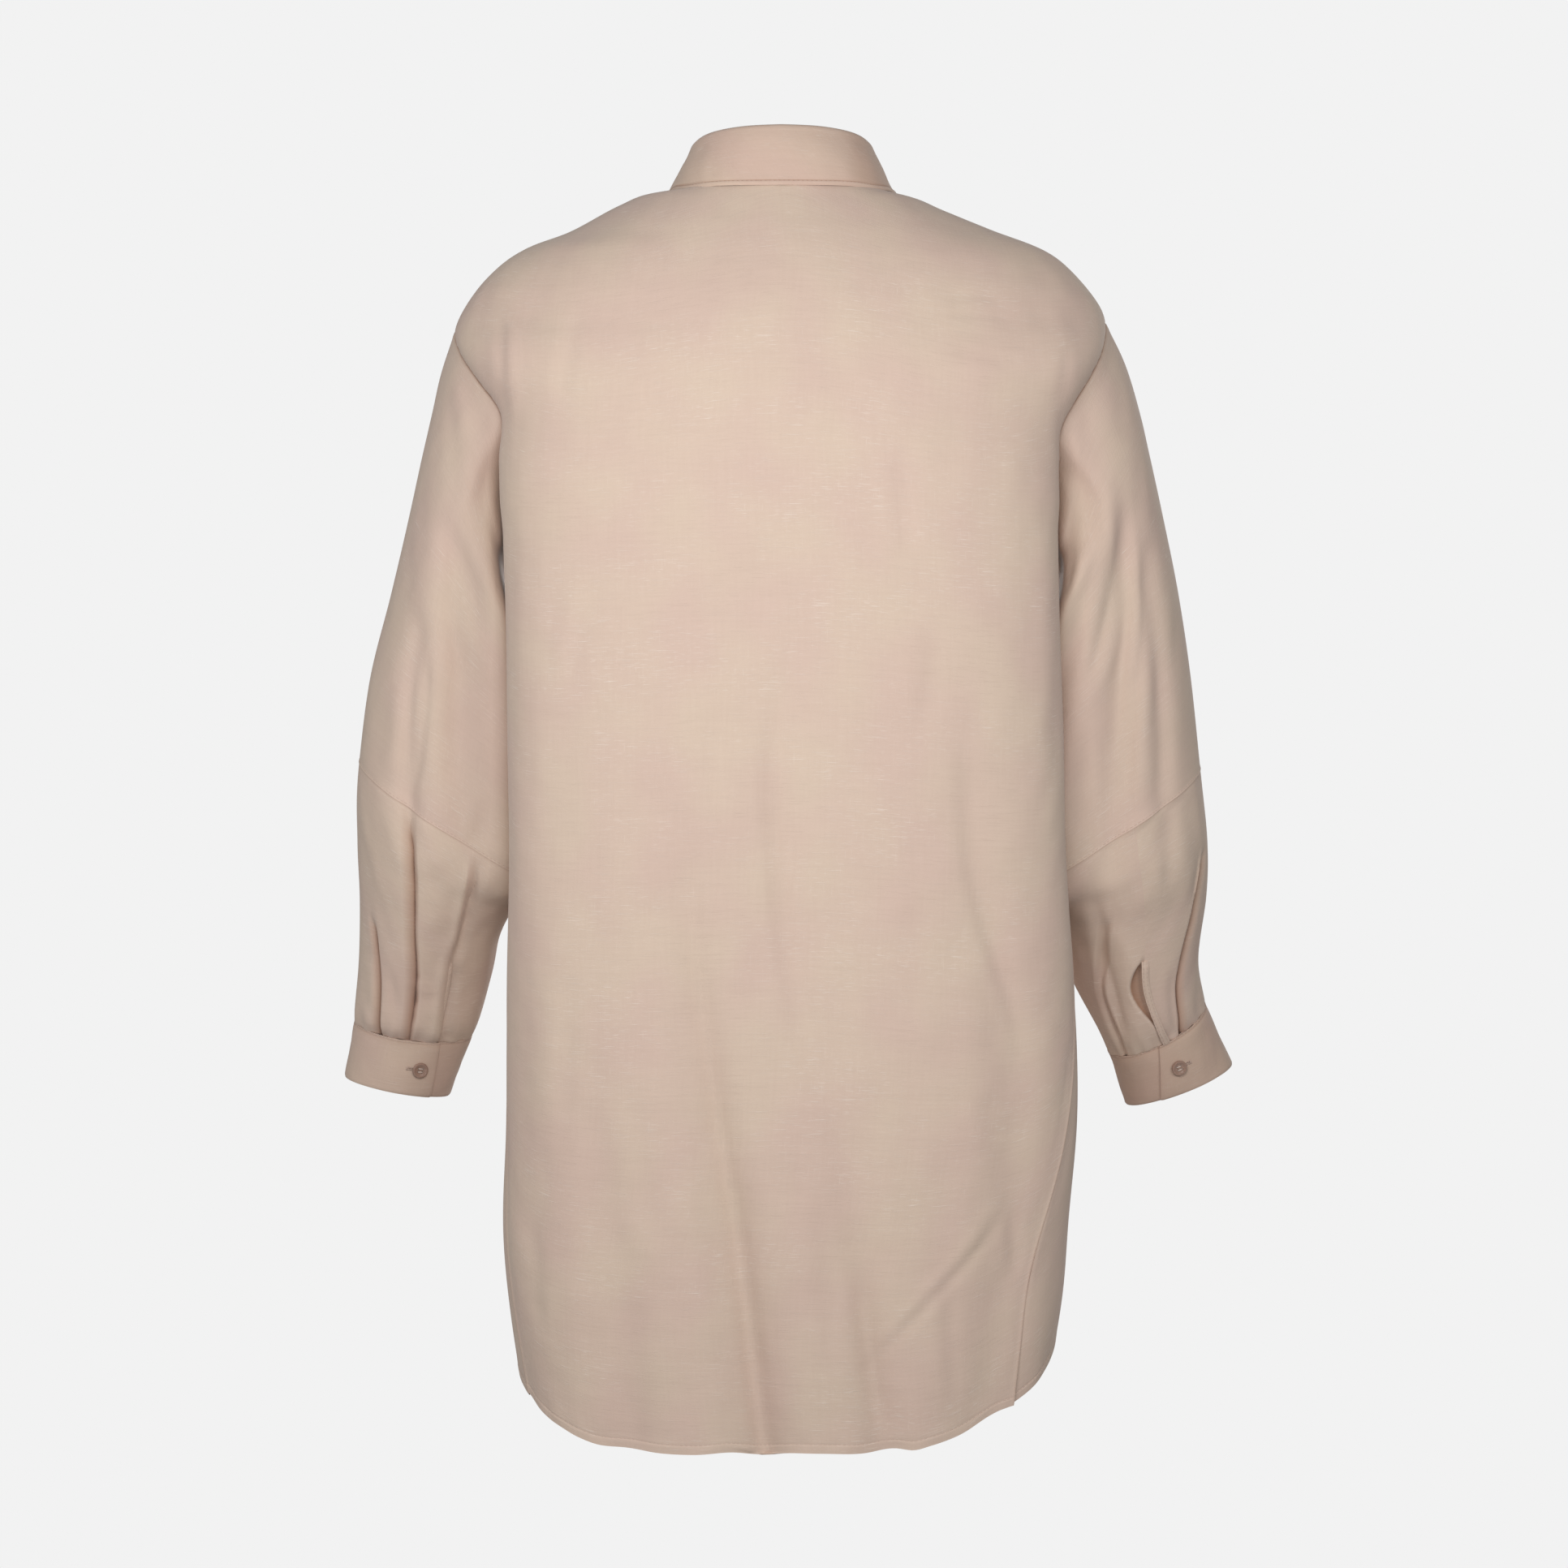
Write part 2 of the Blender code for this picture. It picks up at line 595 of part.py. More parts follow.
def back_angles(level):
    """The angles of the back's grid lines at a level, from the right to the left."""
    part = np.linspace(-1, 1, BACK_STRIPS + 1)
    return part * panel_turn("back", level, part >= 0)


def front_angles(side, level):
    """The angles of a front's grid lines at a level, from its side seam past the centre line."""
    start = panel_turn("front", level, side == "left")
    wide = edge("front", side, level)
    past = math.degrees(FRONT_OVERLAP / wide)
    angles = np.append(np.linspace(start, 180 - past, FRONT_STRIPS + 1), [180, 180 + past])
    return angles if side == "left" else -angles


def front_lift():
    """How far a front's grid lines stand off the torso's surface where the fronts overlap."""
    return np.append(np.zeros(FRONT_STRIPS), [LAYER] * 3)


def make_back():
    levels = torso_levels()
    points = [torso("back", level, back_angles(level)) for level in levels]
    return Piece("back", points, strips(len(levels), BACK_STRIPS + 1), CLOTH)


def make_front(side):
    """The right front lies over the left one."""
    levels = torso_levels()
    lift = front_lift() * (-1 if side == "left" else 1)
    points = [torso("front", level, front_angles(side, level), lift) for level in levels]
    faces = strips(len(levels), FRONT_STRIPS + 3, mirror=side == "right")
    return Piece("front_" + side, points, faces, CLOTH)


def make_upper_sleeve(side):
    angles = np.linspace(0, 360, 2 * ARMHOLE_ROWS + 1)
    points = [sleeve(side, s, angles) for s in SLEEVE_ROWS]
    rows, columns = len(SLEEVE_ROWS), len(angles)
    faces = closed_round(strips(rows, columns, mirror=side == "right"), rows, columns)
    return Piece("sleeve_upper_" + side, points, faces, CLOTH)


def forearm_angles(side, s):
    """The angles of the forearm's grid lines at one ring, from the slit once round, and their depths."""
    slit, pleats = SLIT_ANGLE[side], PLEATS[side]
    here = np.clip((s - pleats["start"]) / (2 - pleats["start"]), 0, 1)
    angle = pleats["from_angle"] + (pleats["to_angle"] - pleats["from_angle"]) * here
    deep = (pleats["middle"] + (pleats["end"] - pleats["middle"]) * here) * ease(here * 3)
    middles = (angle - slit) % 360
    lines, depths = [slit], [0.0]
    for k in np.argsort((pleats["from_angle"] - slit) % 360):
        lips = slit + middles[k] - PLEAT_HALF
        count = pleat_gap(side, k)
        lines += list(np.linspace(lines[-1], lips, count + 1)[1:])
        lines += [lips + PLEAT_HALF, lips + 2 * PLEAT_HALF]
        depths += [0.0] * count + [deep[k], 0.0]
    lines += list(np.linspace(lines[-1], slit + 360, pleat_gap(side, None) + 1)[1:])
    depths += [0.0] * (len(lines) - len(depths))
    return np.array(lines), np.array(depths)


def pleat_gap(side, k):
    """Number of strips before pleat k, or after the last one for None."""
    slit, pleats = SLIT_ANGLE[side], PLEATS[side]
    order = list(np.argsort((pleats["from_angle"] - slit) % 360))
    middles = (pleats["from_angle"] - slit) % 360
    at = len(order) if k is None else order.index(k)
    start = 0 if at == 0 else middles[order[at - 1]] + PLEAT_HALF
    end = 360 if k is None else middles[k] - PLEAT_HALF
    return max(2, round((end - start) / FOREARM_STRIP))


def ring_outs(side, s, angles, first):
    """Directions out of a ring in its own plane, by the number of the point."""
    centre, points = sleeve_ring(side, np.full_like(angles, s), angles)
    outs = (points - centre) / np.linalg.norm(points - centre, axis=1, keepdims=True)
    return {first + k: out for k, out in enumerate(outs)}


def make_lower_sleeve(side):
    """A tube that is open along its slit, whose back edge lies under its front edge."""
    rows, points = len(FOREARM_ROWS), []
    slit_start = 2 - SLIT_LENGTH
    for s in FOREARM_ROWS:
        angles, depths = forearm_angles(side, s)
        lift = -depths
        if s > slit_start:
            lift[0] -= SLIT_LAYER
            lift[-1] += SLIT_LAYER
            angles[0] -= SLIT_UNDER
            angles[-1] += SLIT_OVER
        points.append(sleeve(side, s, angles, lift))
    columns = len(points[0])
    faces = strips(rows, columns, mirror=side == "right")
    whole = sum(s <= slit_start for s in FOREARM_ROWS)
    held = ring_outs(side, 2, angles, (rows - 1) * columns)
    return Piece("sleeve_lower_" + side, points, closed_round(faces, whole, columns), CLOTH, held)


def cuff_lift(turned):
    """How far a band stands off its ring, by the degrees from its outer end; its ends lie on each other."""
    whole = 360 + CUFF_OVERLAP
    outer = 1 - ease((turned - CUFF_OVERLAP) / CUFF_OVERLAP)
    inner = 1 - ease((whole - CUFF_OVERLAP - turned) / CUFF_OVERLAP)
    return LAYER * (outer - inner)


def cuff_points(side, down, turned):
    """Points of a cuff: down from 0 at its seam to 1, turned in degrees from its outer end."""
    top, bottom = CUFF_END[side]
    end = top + (bottom - top) * down
    return sleeve(side, 2 + down, end - turned, cuff_lift(turned))


def make_cuff(side):
    turned = np.linspace(0, 360 + CUFF_OVERLAP, CUFF_STRIPS + 1)
    points = [cuff_points(side, down, turned) for down in (0, 0.5, 1)]
    faces = strips(3, len(turned), mirror=side == "left")
    return Piece("cuff_" + side, points, faces, BAND, ring_outs(side, 2, CUFF_END[side][0] - turned, 0))


def make_binding(side):
    """A narrow strip along the slit's upper edge, made from the forearm's points and moved out."""
    top, off = SLIT_ANGLE[side] + SLIT_OVER, CLOTH + GAP + SLIT_LAYER
    points = []
    for s in np.linspace(2 - SLIT_LENGTH, 2, BINDING_ROWS + 1)[1:]:
        centre, upper = sleeve_ring(side, s, top)
        wide = math.degrees(BINDING_WIDTH / np.linalg.norm(upper - centre))
        points.append(sleeve(side, s, top - wide * np.array([1, 0.5, 0]), off))
    return Piece("slit_binding_" + side, points, strips(BINDING_ROWS, 3, mirror=side == "right"), CLOTH)


def neck_angles():
    """The angles of the collar's grid lines: those of the two fronts and the back at the neck."""
    right, left = front_angles("right", 3.0), front_angles("left", 3.0)
    return np.concatenate([right[::-1], back_angles(3.0)[1:-1], left])


def neck_lift(angles):
    lift = np.concatenate([front_lift()[::-1], np.zeros(BACK_STRIPS - 1), -front_lift()])
    return outward(angles) * lift[:, None]


def make_collar_stand():
    angles = neck_angles()
    low, high = neck(angles), stand_top(angles)
    points = [low + (high - low) * part + neck_lift(angles) for part in (0, 0.5, 1)]
    return Piece("collar_stand", points, strips(3, len(angles)), BAND)


def make_collar_leaf():
    angles = neck_angles()[2:-2]
    start, edge, out = stand_top(angles) + neck_lift(neck_angles())[2:-2], leaf_edge(angles), outward(angles)
    up = np.array([0, 0, 1])
    rows = [start + out * step + up * rise for step, rise in LEAF_ROLL]
    roll = rows[-1]
    for k in range(1, LEAF_ROWS + 1):
        part = k / LEAF_ROWS
        rows.append(roll + (edge - roll) * part + out * LEAF_BULGE * math.sin(math.pi * part))
    return Piece("collar_leaf", rows, strips(len(rows), len(angles)), BAND)


def add_material(name, colour, roughness):
    material = bpy.data.materials.new(name)
    material.use_nodes = True
    shader = material.node_tree.nodes["Principled BSDF"]
    shader.inputs["Base Color"].default_value = (*colour, 1)
    shader.inputs["Roughness"].default_value = roughness
    shader.inputs["Metallic"].default_value = 0
    return material


def add_object(name, mesh, colour, roughness):
    mesh.materials.append(add_material(name + "_finish", colour, roughness))
    obj = bpy.data.objects.new(name, mesh)
    bpy.context.scene.collection.objects.link(obj)
    return obj


def add_cloth(piece, normals):
    points, faces = piece.solid(normals)
    mesh = bpy.data.meshes.new(piece.name)
    mesh.from_pydata([tuple(point) for point in points], [], faces)
    mesh.shade_smooth()
    mesh.set_sharp_from_angle(angle=math.radians(CLOTH_SHARP))
    return add_object(piece.name, mesh, CLOTH_COLOUR, CLOTH_ROUGHNESS)


def button_mesh(name):
    mesh = bmesh.new()
    points = [mesh.verts.new((r * BUTTON_WIDTH / 2, 0, z * BUTTON_HEIGHT)) for r, z in BUTTON_PROFILE]
    edges = [mesh.edges.new(pair) for pair in zip(points, points[1:])]
    bmesh.ops.spin(
        mesh, geom=points + edges, cent=(0, 0, 0), axis=(0, 0, 1), angle=math.tau, steps=BUTTON_SIDES
    )
    bmesh.ops.remove_doubles(mesh, verts=mesh.verts, dist=MEET)
    bmesh.ops.recalc_face_normals(mesh, faces=mesh.faces)
    data = bpy.data.meshes.new(name)
    mesh.to_mesh(data)
    mesh.free()
    data.shade_smooth()
    data.set_sharp_from_angle(angle=math.radians(BUTTON_SHARP))
    return data


def add_button(name, point, out):
    """A button whose foot lies just off a point of the cloth, facing out."""
    obj = add_object(name, button_mesh(name), BUTTON_COLOUR, BUTTON_ROUGHNESS)
    turn = Vector(out).to_track_quat("Z", "Y").to_matrix().to_4x4()
    obj.matrix_world = Matrix.Translation(Vector(point)) @ turn
    return obj


def facing(surface, along, angle, inside):
    """A point of a surface, and the unit direction square to it that leads away from inside."""
    point = surface(along, angle)
    down = surface(along + NEAR_ALONG, angle) - surface(along - NEAR_ALONG, angle)
    across = surface(along, angle + NEAR_ANGLE) - surface(along, angle - NEAR_ANGLE)
    out = np.cross(down, across)
    return point, out / np.linalg.norm(out) * np.sign(out.dot(point - inside))


def front_point(level, angle):
    return torso("front", level, angle, LAYER)


def add_front_buttons():
    levels = np.linspace(0, 3, LEVEL_SAMPLES)
    heights = front_point(levels, 180)[:, 2]
    for k in range(FRONT_BUTTONS):
        level = np.interp(FIRST_BUTTON - k * BUTTON_STEP, heights, levels)
        point, out = facing(front_point, level, 180, np.zeros(3))
        add_button(f"button_front_{k + 1}", point + out * (CLOTH / 2 + GAP), out)


def add_cuff_button(side):
    top, bottom = CUFF_END[side]
    turned = (top + bottom) / 2 - CUFF_BUTTON[side]

    def surface(down, turned):
        return cuff_points(side, down, turned)

    point, out = facing(surface, 0.5, turned, sleeve(side, 2.5, (0, 180)).mean(axis=0))
    add_button("button_cuff_" + side, point + out * (BAND / 2 + GAP), out)


def add_collar_button():
    angle = np.array([-180.0])
    low, high = neck(angle)[0], stand_top(angle)[0]
    out = np.array([0, high[2] - low[2], low[1] - high[1]])
    out = -out / np.linalg.norm(out)
    point = (low + high) / 2 + outward(angle)[0] * LAYER
    add_button("button_collar", point + out * (BAND / 2 + GAP), out)


def clear_scene():
    for obj in list(bpy.data.objects):
        bpy.data.objects.remove(obj)


def main():
    clear_scene()
    pieces = [make_back(), make_front("left"), make_front("right"), make_collar_stand(), make_collar_leaf()]
    for side in ("left", "right"):
        pieces += [make_upper_sleeve(side), make_lower_sleeve(side), make_cuff(side), make_binding(side)]
    for piece, normals in zip(pieces, joint_normals(pieces)):
        add_cloth(piece, normals)
    add_front_buttons()
    add_collar_button()
    for side in ("left", "right"):
        add_cuff_button(side)


main()
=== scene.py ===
# %% [markdown]
# # A long sleeve shirt, filled out with no wearer
# The shirt keeps its own pose: the cloth pieces are thin shells on the same surfaces as the solid part. All
# is in metres, with the front towards -Y and the wearer's left at +X, and the camera sees the back. This
# first cell loads the part that was built before, so that each new piece can take its node's place.

# %% Load the part
import math
from functools import partial

import bpy
import numpy as np
from mathutils import Matrix, Vector


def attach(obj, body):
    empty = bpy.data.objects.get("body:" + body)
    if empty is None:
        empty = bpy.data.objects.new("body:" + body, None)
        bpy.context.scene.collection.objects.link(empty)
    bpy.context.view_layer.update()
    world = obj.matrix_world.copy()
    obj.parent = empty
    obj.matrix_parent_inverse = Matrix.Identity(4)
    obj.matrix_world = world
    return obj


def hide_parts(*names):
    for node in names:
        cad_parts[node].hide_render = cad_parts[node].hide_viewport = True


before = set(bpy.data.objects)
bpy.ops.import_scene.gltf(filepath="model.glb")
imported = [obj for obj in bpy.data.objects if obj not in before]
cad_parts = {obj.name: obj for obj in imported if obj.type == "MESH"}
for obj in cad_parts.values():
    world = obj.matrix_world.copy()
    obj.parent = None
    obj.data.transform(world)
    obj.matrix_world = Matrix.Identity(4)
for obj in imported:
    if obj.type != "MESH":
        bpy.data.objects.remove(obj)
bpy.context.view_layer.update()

print("nodes:", len(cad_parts), "full")

# %% [markdown]
# ## Smooth tables
# A garment's outline is easiest to keep as short tables: a few rows of measured widths and heights, joined by
# a smooth curve. The same tables shape the solid part, so the finished cloth can't drift away from it.

# %% Tables and curves
def table(columns, *rows):
    """The rows as one array for each named column."""
    return dict(zip(columns.split(), np.array(rows, float).T))


def smooth(xs, ys, x):
    """Values at x of a smooth curve through the points of xs and ys."""
    step = np.diff(xs)
    slope = np.diff(ys) / step
    inner = (slope[:-1] * step[1:] + slope[1:] * step[:-1]) / (step[:-1] + step[1:])
    tangent = np.concatenate([slope[:1], inner, slope[-1:]])
    x = np.clip(x, xs[0], xs[-1])
    i = np.clip(np.searchsorted(xs, x, side="right") - 1, 0, len(step) - 1)
    t = (x - xs[i]) / step[i]
    swing = t * (1 - t)
    return (
        ys[i] * (1 - t) + ys[i + 1] * t
        + swing * step[i] * ((tangent[i] - slope[i]) * (1 - t) - (tangent[i + 1] - slope[i]) * t)
    )


def read(rows, column, at):
    """A column of a table, at values of its first column."""
    return smooth(rows[next(iter(rows))], rows[column], at)


def ease(t):
    """From 0 to 1 with level ends."""
    t = np.clip(t, 0, 1)
    return t * t * (3 - 2 * t)


def rounded(angle, square):
    """Sine and cosine of an angle in degrees on a ring that is more square than a circle, which has 2."""
    sine, cosine = np.sin(np.radians(angle)), np.cos(np.radians(angle))
    size = (np.abs(sine) ** square + np.abs(cosine) ** square) ** (1 / square)
    return sine / size, cosine / size


print("ease at each quarter:", [round(float(ease(t / 4)), 2) for t in range(5)])

# %% [markdown]
# ## The body tube
# Back and fronts of a loose shirt make one tube. Its rings are rounded squares, wide at the side seams, and
# the pieces end at the side seam, then at the armhole, then at the shoulder seam. Levels count those
# stretches: 0 at the hem, 1 at the underarm, 2 at the shoulder tip, 3 at the neck.

# %% Tables of the body
UNDERARM = -0.25
# The edge of the torso: half-widths left and right at the widest line, that line's place from front to
# back, and the angle and height at which back and fronts end: at side seam, armhole or shoulder seam.
EDGE = "level left right mid turn_left turn_right z_left z_right"
SIDE_SEAM = (
    (0.00, 0.188, 0.192, 0.010, 64, 50, -0.825, -0.818),
    (0.06, 0.193, 0.197, 0.012, 66, 50, -0.790, -0.784),
    (0.15, 0.198, 0.201, 0.016, 70, 52, -0.739, -0.733),
    (0.27, 0.196, 0.207, 0.022, 77, 62, -0.670, -0.665),
    (0.45, 0.195, 0.204, 0.032, 90, 82, -0.566, -0.563),
    (0.60, 0.193, 0.198, 0.040, 99, 96, -0.480, -0.477),
    (0.75, 0.194, 0.196, 0.046, 107, 106, -0.394, -0.392),
    (0.90, 0.195, 0.193, 0.050, 113, 113, -0.308, -0.307),
    (1.00, 0.197, 0.192, 0.050, 116, 116, UNDERARM, UNDERARM),
)
SHOULDER_SEAM = (
    (2.00, 0.2350, 0.2295, -0.010, 90, 90, -0.103, -0.097),
    (2.17, 0.2190, 0.2185, -0.010, 90, 90, -0.074, -0.076),
    (2.40, 0.1850, 0.1860, -0.009, 90, 90, -0.046, -0.047),
    (2.57, 0.1540, 0.1500, -0.008, 90, 90, -0.034, -0.033),
    (2.77, 0.1180, 0.1140, -0.007, 90, 90, -0.0150, -0.0185),
    (2.90, 0.0980, 0.0930, -0.006, 90, 90, -0.0075, -0.0100),
    (3.00, 0.0740, 0.0710, -0.006, 90, 90, -0.0065, -0.0065),
)
BACK_EDGE = table(
    EDGE,
    SIDE_SEAM[-1],
    (1.15, 0.199, 0.193, 0.050, 108, 108, -0.232, -0.232),
    (1.37, 0.200, 0.193, 0.047, 98, 98, -0.200, -0.202),
    (1.59, 0.201, 0.198, 0.042, 90, 90, -0.163, -0.170),
    (1.72, 0.217, 0.216, 0.032, 90, 90, -0.141, -0.140),
    (1.88, 0.231, 0.227, 0.012, 90, 90, -0.119, -0.116),
    *SHOULDER_SEAM,
)
FRONT_EDGE = table(
    EDGE,
    SIDE_SEAM[-1],
    (1.15, 0.193, 0.190, -0.025, 104, 104, -0.236, -0.236),
    (1.37, 0.193, 0.190, -0.060, 94, 94, -0.204, -0.205),
    (1.59, 0.202, 0.199, -0.066, 90, 90, -0.168, -0.172),
    (1.72, 0.217, 0.216, -0.055, 90, 90, -0.143, -0.142),
    (1.88, 0.231, 0.227, -0.034, 90, 90, -0.119, -0.116),
    *SHOULDER_SEAM,
)
LOW_EDGE = table(EDGE, *SIDE_SEAM)
HIGH_EDGES = {"back": BACK_EDGE, "front": FRONT_EDGE}

# The centre lines: how far back or forward they lie, their height, and how square the torso's ring is there.
CENTRE = "level y z square"
CENTRES = {
    "back": table(
        CENTRE,
        (0.0, 0.134, -0.890, 2.7),
        (0.5, 0.131, -0.570, 2.8),
        (1.0, 0.130, UNDERARM, 2.6),
        (1.5, 0.126, -0.172, 2.35),
        (2.0, 0.112, -0.106, 2.1),
        (2.5, 0.089, -0.050, 2.0),
        (3.0, 0.058, 0.001, 2.0),
    ),
    "front": table(
        CENTRE,
        (0.0, -0.126, -0.868, 2.4),
        (0.5, -0.130, -0.560, 2.7),
        (1.0, -0.134, UNDERARM, 2.9),
        (1.5, -0.131, -0.190, 2.2),
        (2.0, -0.117, -0.145, 2.0),
        (2.5, -0.096, -0.105, 2.0),
        (3.0, -0.070, -0.066, 2.0),
    ),
}
# The curved hem: its height round the torso on each side.
HEM = table(
    "angle left right",
    (0, -0.892, -0.892),
    (20, -0.893, -0.892),
    (35, -0.889, -0.883),
    (45, -0.882, -0.869),
    (55, -0.870, -0.853),
    (65, -0.856, -0.838),
    (75, -0.845, -0.826),
    (90, -0.826, -0.819),
    (110, -0.824, -0.822),
    (145, -0.852, -0.852),
    (180, -0.868, -0.868),
)
print("rows of the edge:", len(SIDE_SEAM), "up to the underarm,", len(SHOULDER_SEAM), "at the shoulder")

# %% [markdown]
# ## Big folds of the body
# Cloth that hangs from the shoulders falls into long troughs that widen to the hem. A cloth simulation would
# put them where it likes, so each is a table of middles, widths and depths by height. The solid part has them
# too.

# %% Tables of the big folds
# Each fold is a trough whose middle x, width and depth change with the height z.
FOLD = "z x width depth"
FOLDS = {
    "back": (
        table(
            FOLD,
            (-0.89, 0.013, 0.021, 0.016),
            (-0.82, 0.023, 0.019, 0.014),
            (-0.74, 0.035, 0.018, 0.012),
            (-0.65, 0.049, 0.016, 0.009),
            (-0.55, 0.064, 0.015, 0.005),
            (-0.44, 0.071, 0.014, 0),
        ),
        table(
            FOLD,
            (-0.89, -0.072, 0.016, 0.009),
            (-0.77, -0.055, 0.016, 0.006),
            (-0.66, -0.040, 0.015, 0.003),
            (-0.56, -0.008, 0.015, 0.003),
            (-0.42, 0.006, 0.014, 0.002),
            (-0.33, 0.003, 0.014, 0),
        ),
        table(
            FOLD,
            (-0.86, -0.140, 0.020, 0.004),
            (-0.74, -0.158, 0.018, 0.005),
            (-0.60, -0.158, 0.018, 0.005),
            (-0.48, -0.134, 0.016, 0.003),
            (-0.36, -0.130, 0.016, 0),
        ),
        table(
            FOLD,
            (-0.88, 0.110, 0.022, 0.006),
            (-0.75, 0.118, 0.020, 0.004),
            (-0.60, 0.135, 0.020, 0.002),
            (-0.50, 0.140, 0.020, 0),
        ),
    ),
    "front": (
        table(
            FOLD,
            (-0.88, 0.070, 0.022, 0.013),
            (-0.75, 0.076, 0.020, 0.010),
            (-0.60, 0.084, 0.018, 0.006),
            (-0.40, 0.090, 0.016, 0),
        ),
        table(
            FOLD,
            (-0.88, -0.082, 0.022, 0.012),
            (-0.75, -0.078, 0.020, 0.010),
            (-0.58, -0.086, 0.018, 0.006),
            (-0.36, -0.094, 0.016, 0),
        ),
        table(FOLD, (-0.86, 0.146, 0.018, 0.006), (-0.70, 0.150, 0.016, 0.005), (-0.50, 0.152, 0.016, 0)),
        table(FOLD, (-0.86, -0.150, 0.018, 0.006), (-0.66, -0.146, 0.016, 0.004), (-0.46, -0.150, 0.016, 0)),
    ),
}

# No fold lies this near the widest line, in degrees, and this much further each one has its whole depth.
PLAIN_SIDE = 8
SIDE_FADE = 25
print("big folds:", {half: len(folds) for half, folds in FOLDS.items()})

# %% [markdown]
# ## Points of the body
# One function gives any point of the tube from its level and its angle. Everything on the body, from the back
# to the buttons, asks it, so neighbours meet at their seams.

# %% The body's surface
def edge(half, column, level):
    """A column of the torso's edge, where both halves have the same one up to the underarm."""
    low, high = read(LOW_EDGE, column, level), read(HIGH_EDGES[half], column, level)
    return np.where(np.asarray(level) <= 1, low, high)


def edge_side(half, column, level, left):
    """A left or right column of the torso's edge."""
    return np.where(left, edge(half, column + "left", level), edge(half, column + "right", level))


def panel_turn(half, level, left):
    """The angle at which the back or a front ends on one side."""
    return edge_side(half, "turn_", level, left)


def fold_depth(folds, x, z):
    """How deep the soft folds are at places of the torso."""
    depth = np.zeros_like(x)
    for rows in folds:
        away = (x - read(rows, "x", z)) / read(rows, "width", z)
        reach = np.where(z < rows["z"][-1], 1, 0)
        depth += reach * read(rows, "depth", z) * np.exp(-away * away)
    return depth


def torso(half, level, angle, lift=0):
    """Points of the torso's cloth, moved out by lift."""
    level, angle = np.broadcast_arrays(np.asarray(level, float), np.asarray(angle, float))
    left = np.sin(np.radians(angle)) >= 0
    turn = np.degrees(np.arccos(np.clip(np.cos(np.radians(angle)), -1, 1)))
    wide = edge_side(half, "", level, left)
    mid = edge(half, "mid", level)
    behind = turn <= 90
    back, front = CENTRES["back"], CENTRES["front"]
    y_far = np.where(behind, read(back, "y", level), read(front, "y", level))
    square = np.where(behind, read(back, "square", level), read(front, "square", level))
    across, along = rounded(angle, square)
    hem = np.where(left, read(HEM, "left", turn), read(HEM, "right", turn))
    z_low = hem + (UNDERARM - hem) * level
    z_far = read(CENTRES[half], "z", level)
    z_edge = edge_side(half, "z_", level, left)
    end = panel_turn(half, level, left)
    part = turn / end if half == "back" else (180 - turn) / (180 - end)
    z_high = z_far + (z_edge - z_far) * np.sin(np.radians(90 * np.clip(part, 0, 1))) ** 2
    z = np.where(level <= 1, z_low, z_high)
    x, y = wide * across, mid + np.abs(y_far - mid) * along
    out_x, out_y = across * np.abs(y_far - mid), along * wide
    size = np.hypot(out_x, out_y)
    lift = lift - fold_depth(FOLDS[half], x, z) * ease((np.abs(turn - 90) - PLAIN_SIDE) / SIDE_FADE)
    return np.stack([x + out_x / size * lift, y + out_y / size * lift, z], -1)


def armhole(side, angle):
    """Points of the armhole seam: angle runs from the shoulder tip, 0, down the back to the underarm, 180."""
    angle = np.asarray(angle, float) % 360
    sign = 1 if side == "left" else -1
    points = np.empty(angle.shape + (3,))
    for half, here in (("back", angle <= 180), ("front", angle > 180)):
        level = 2 - np.where(half == "back", angle, 360 - angle)[here] / 180
        points[here] = torso(half, level, sign * panel_turn(half, level, side == "left"))
    return points


widths = [float(edge("back", "left", level) + edge("back", "right", level)) for level in (0, 1, 2)]
print("width at hem, underarm and shoulder tip:", np.round(widths, 3))

# %% [markdown]
# ## The sleeves
# A shirt sleeve is a tube set into the armhole. Its rings are ovals that bend a little forward at the elbow,
# and the first third blends from the armhole's own shape into those rings, as a sewn cap does.

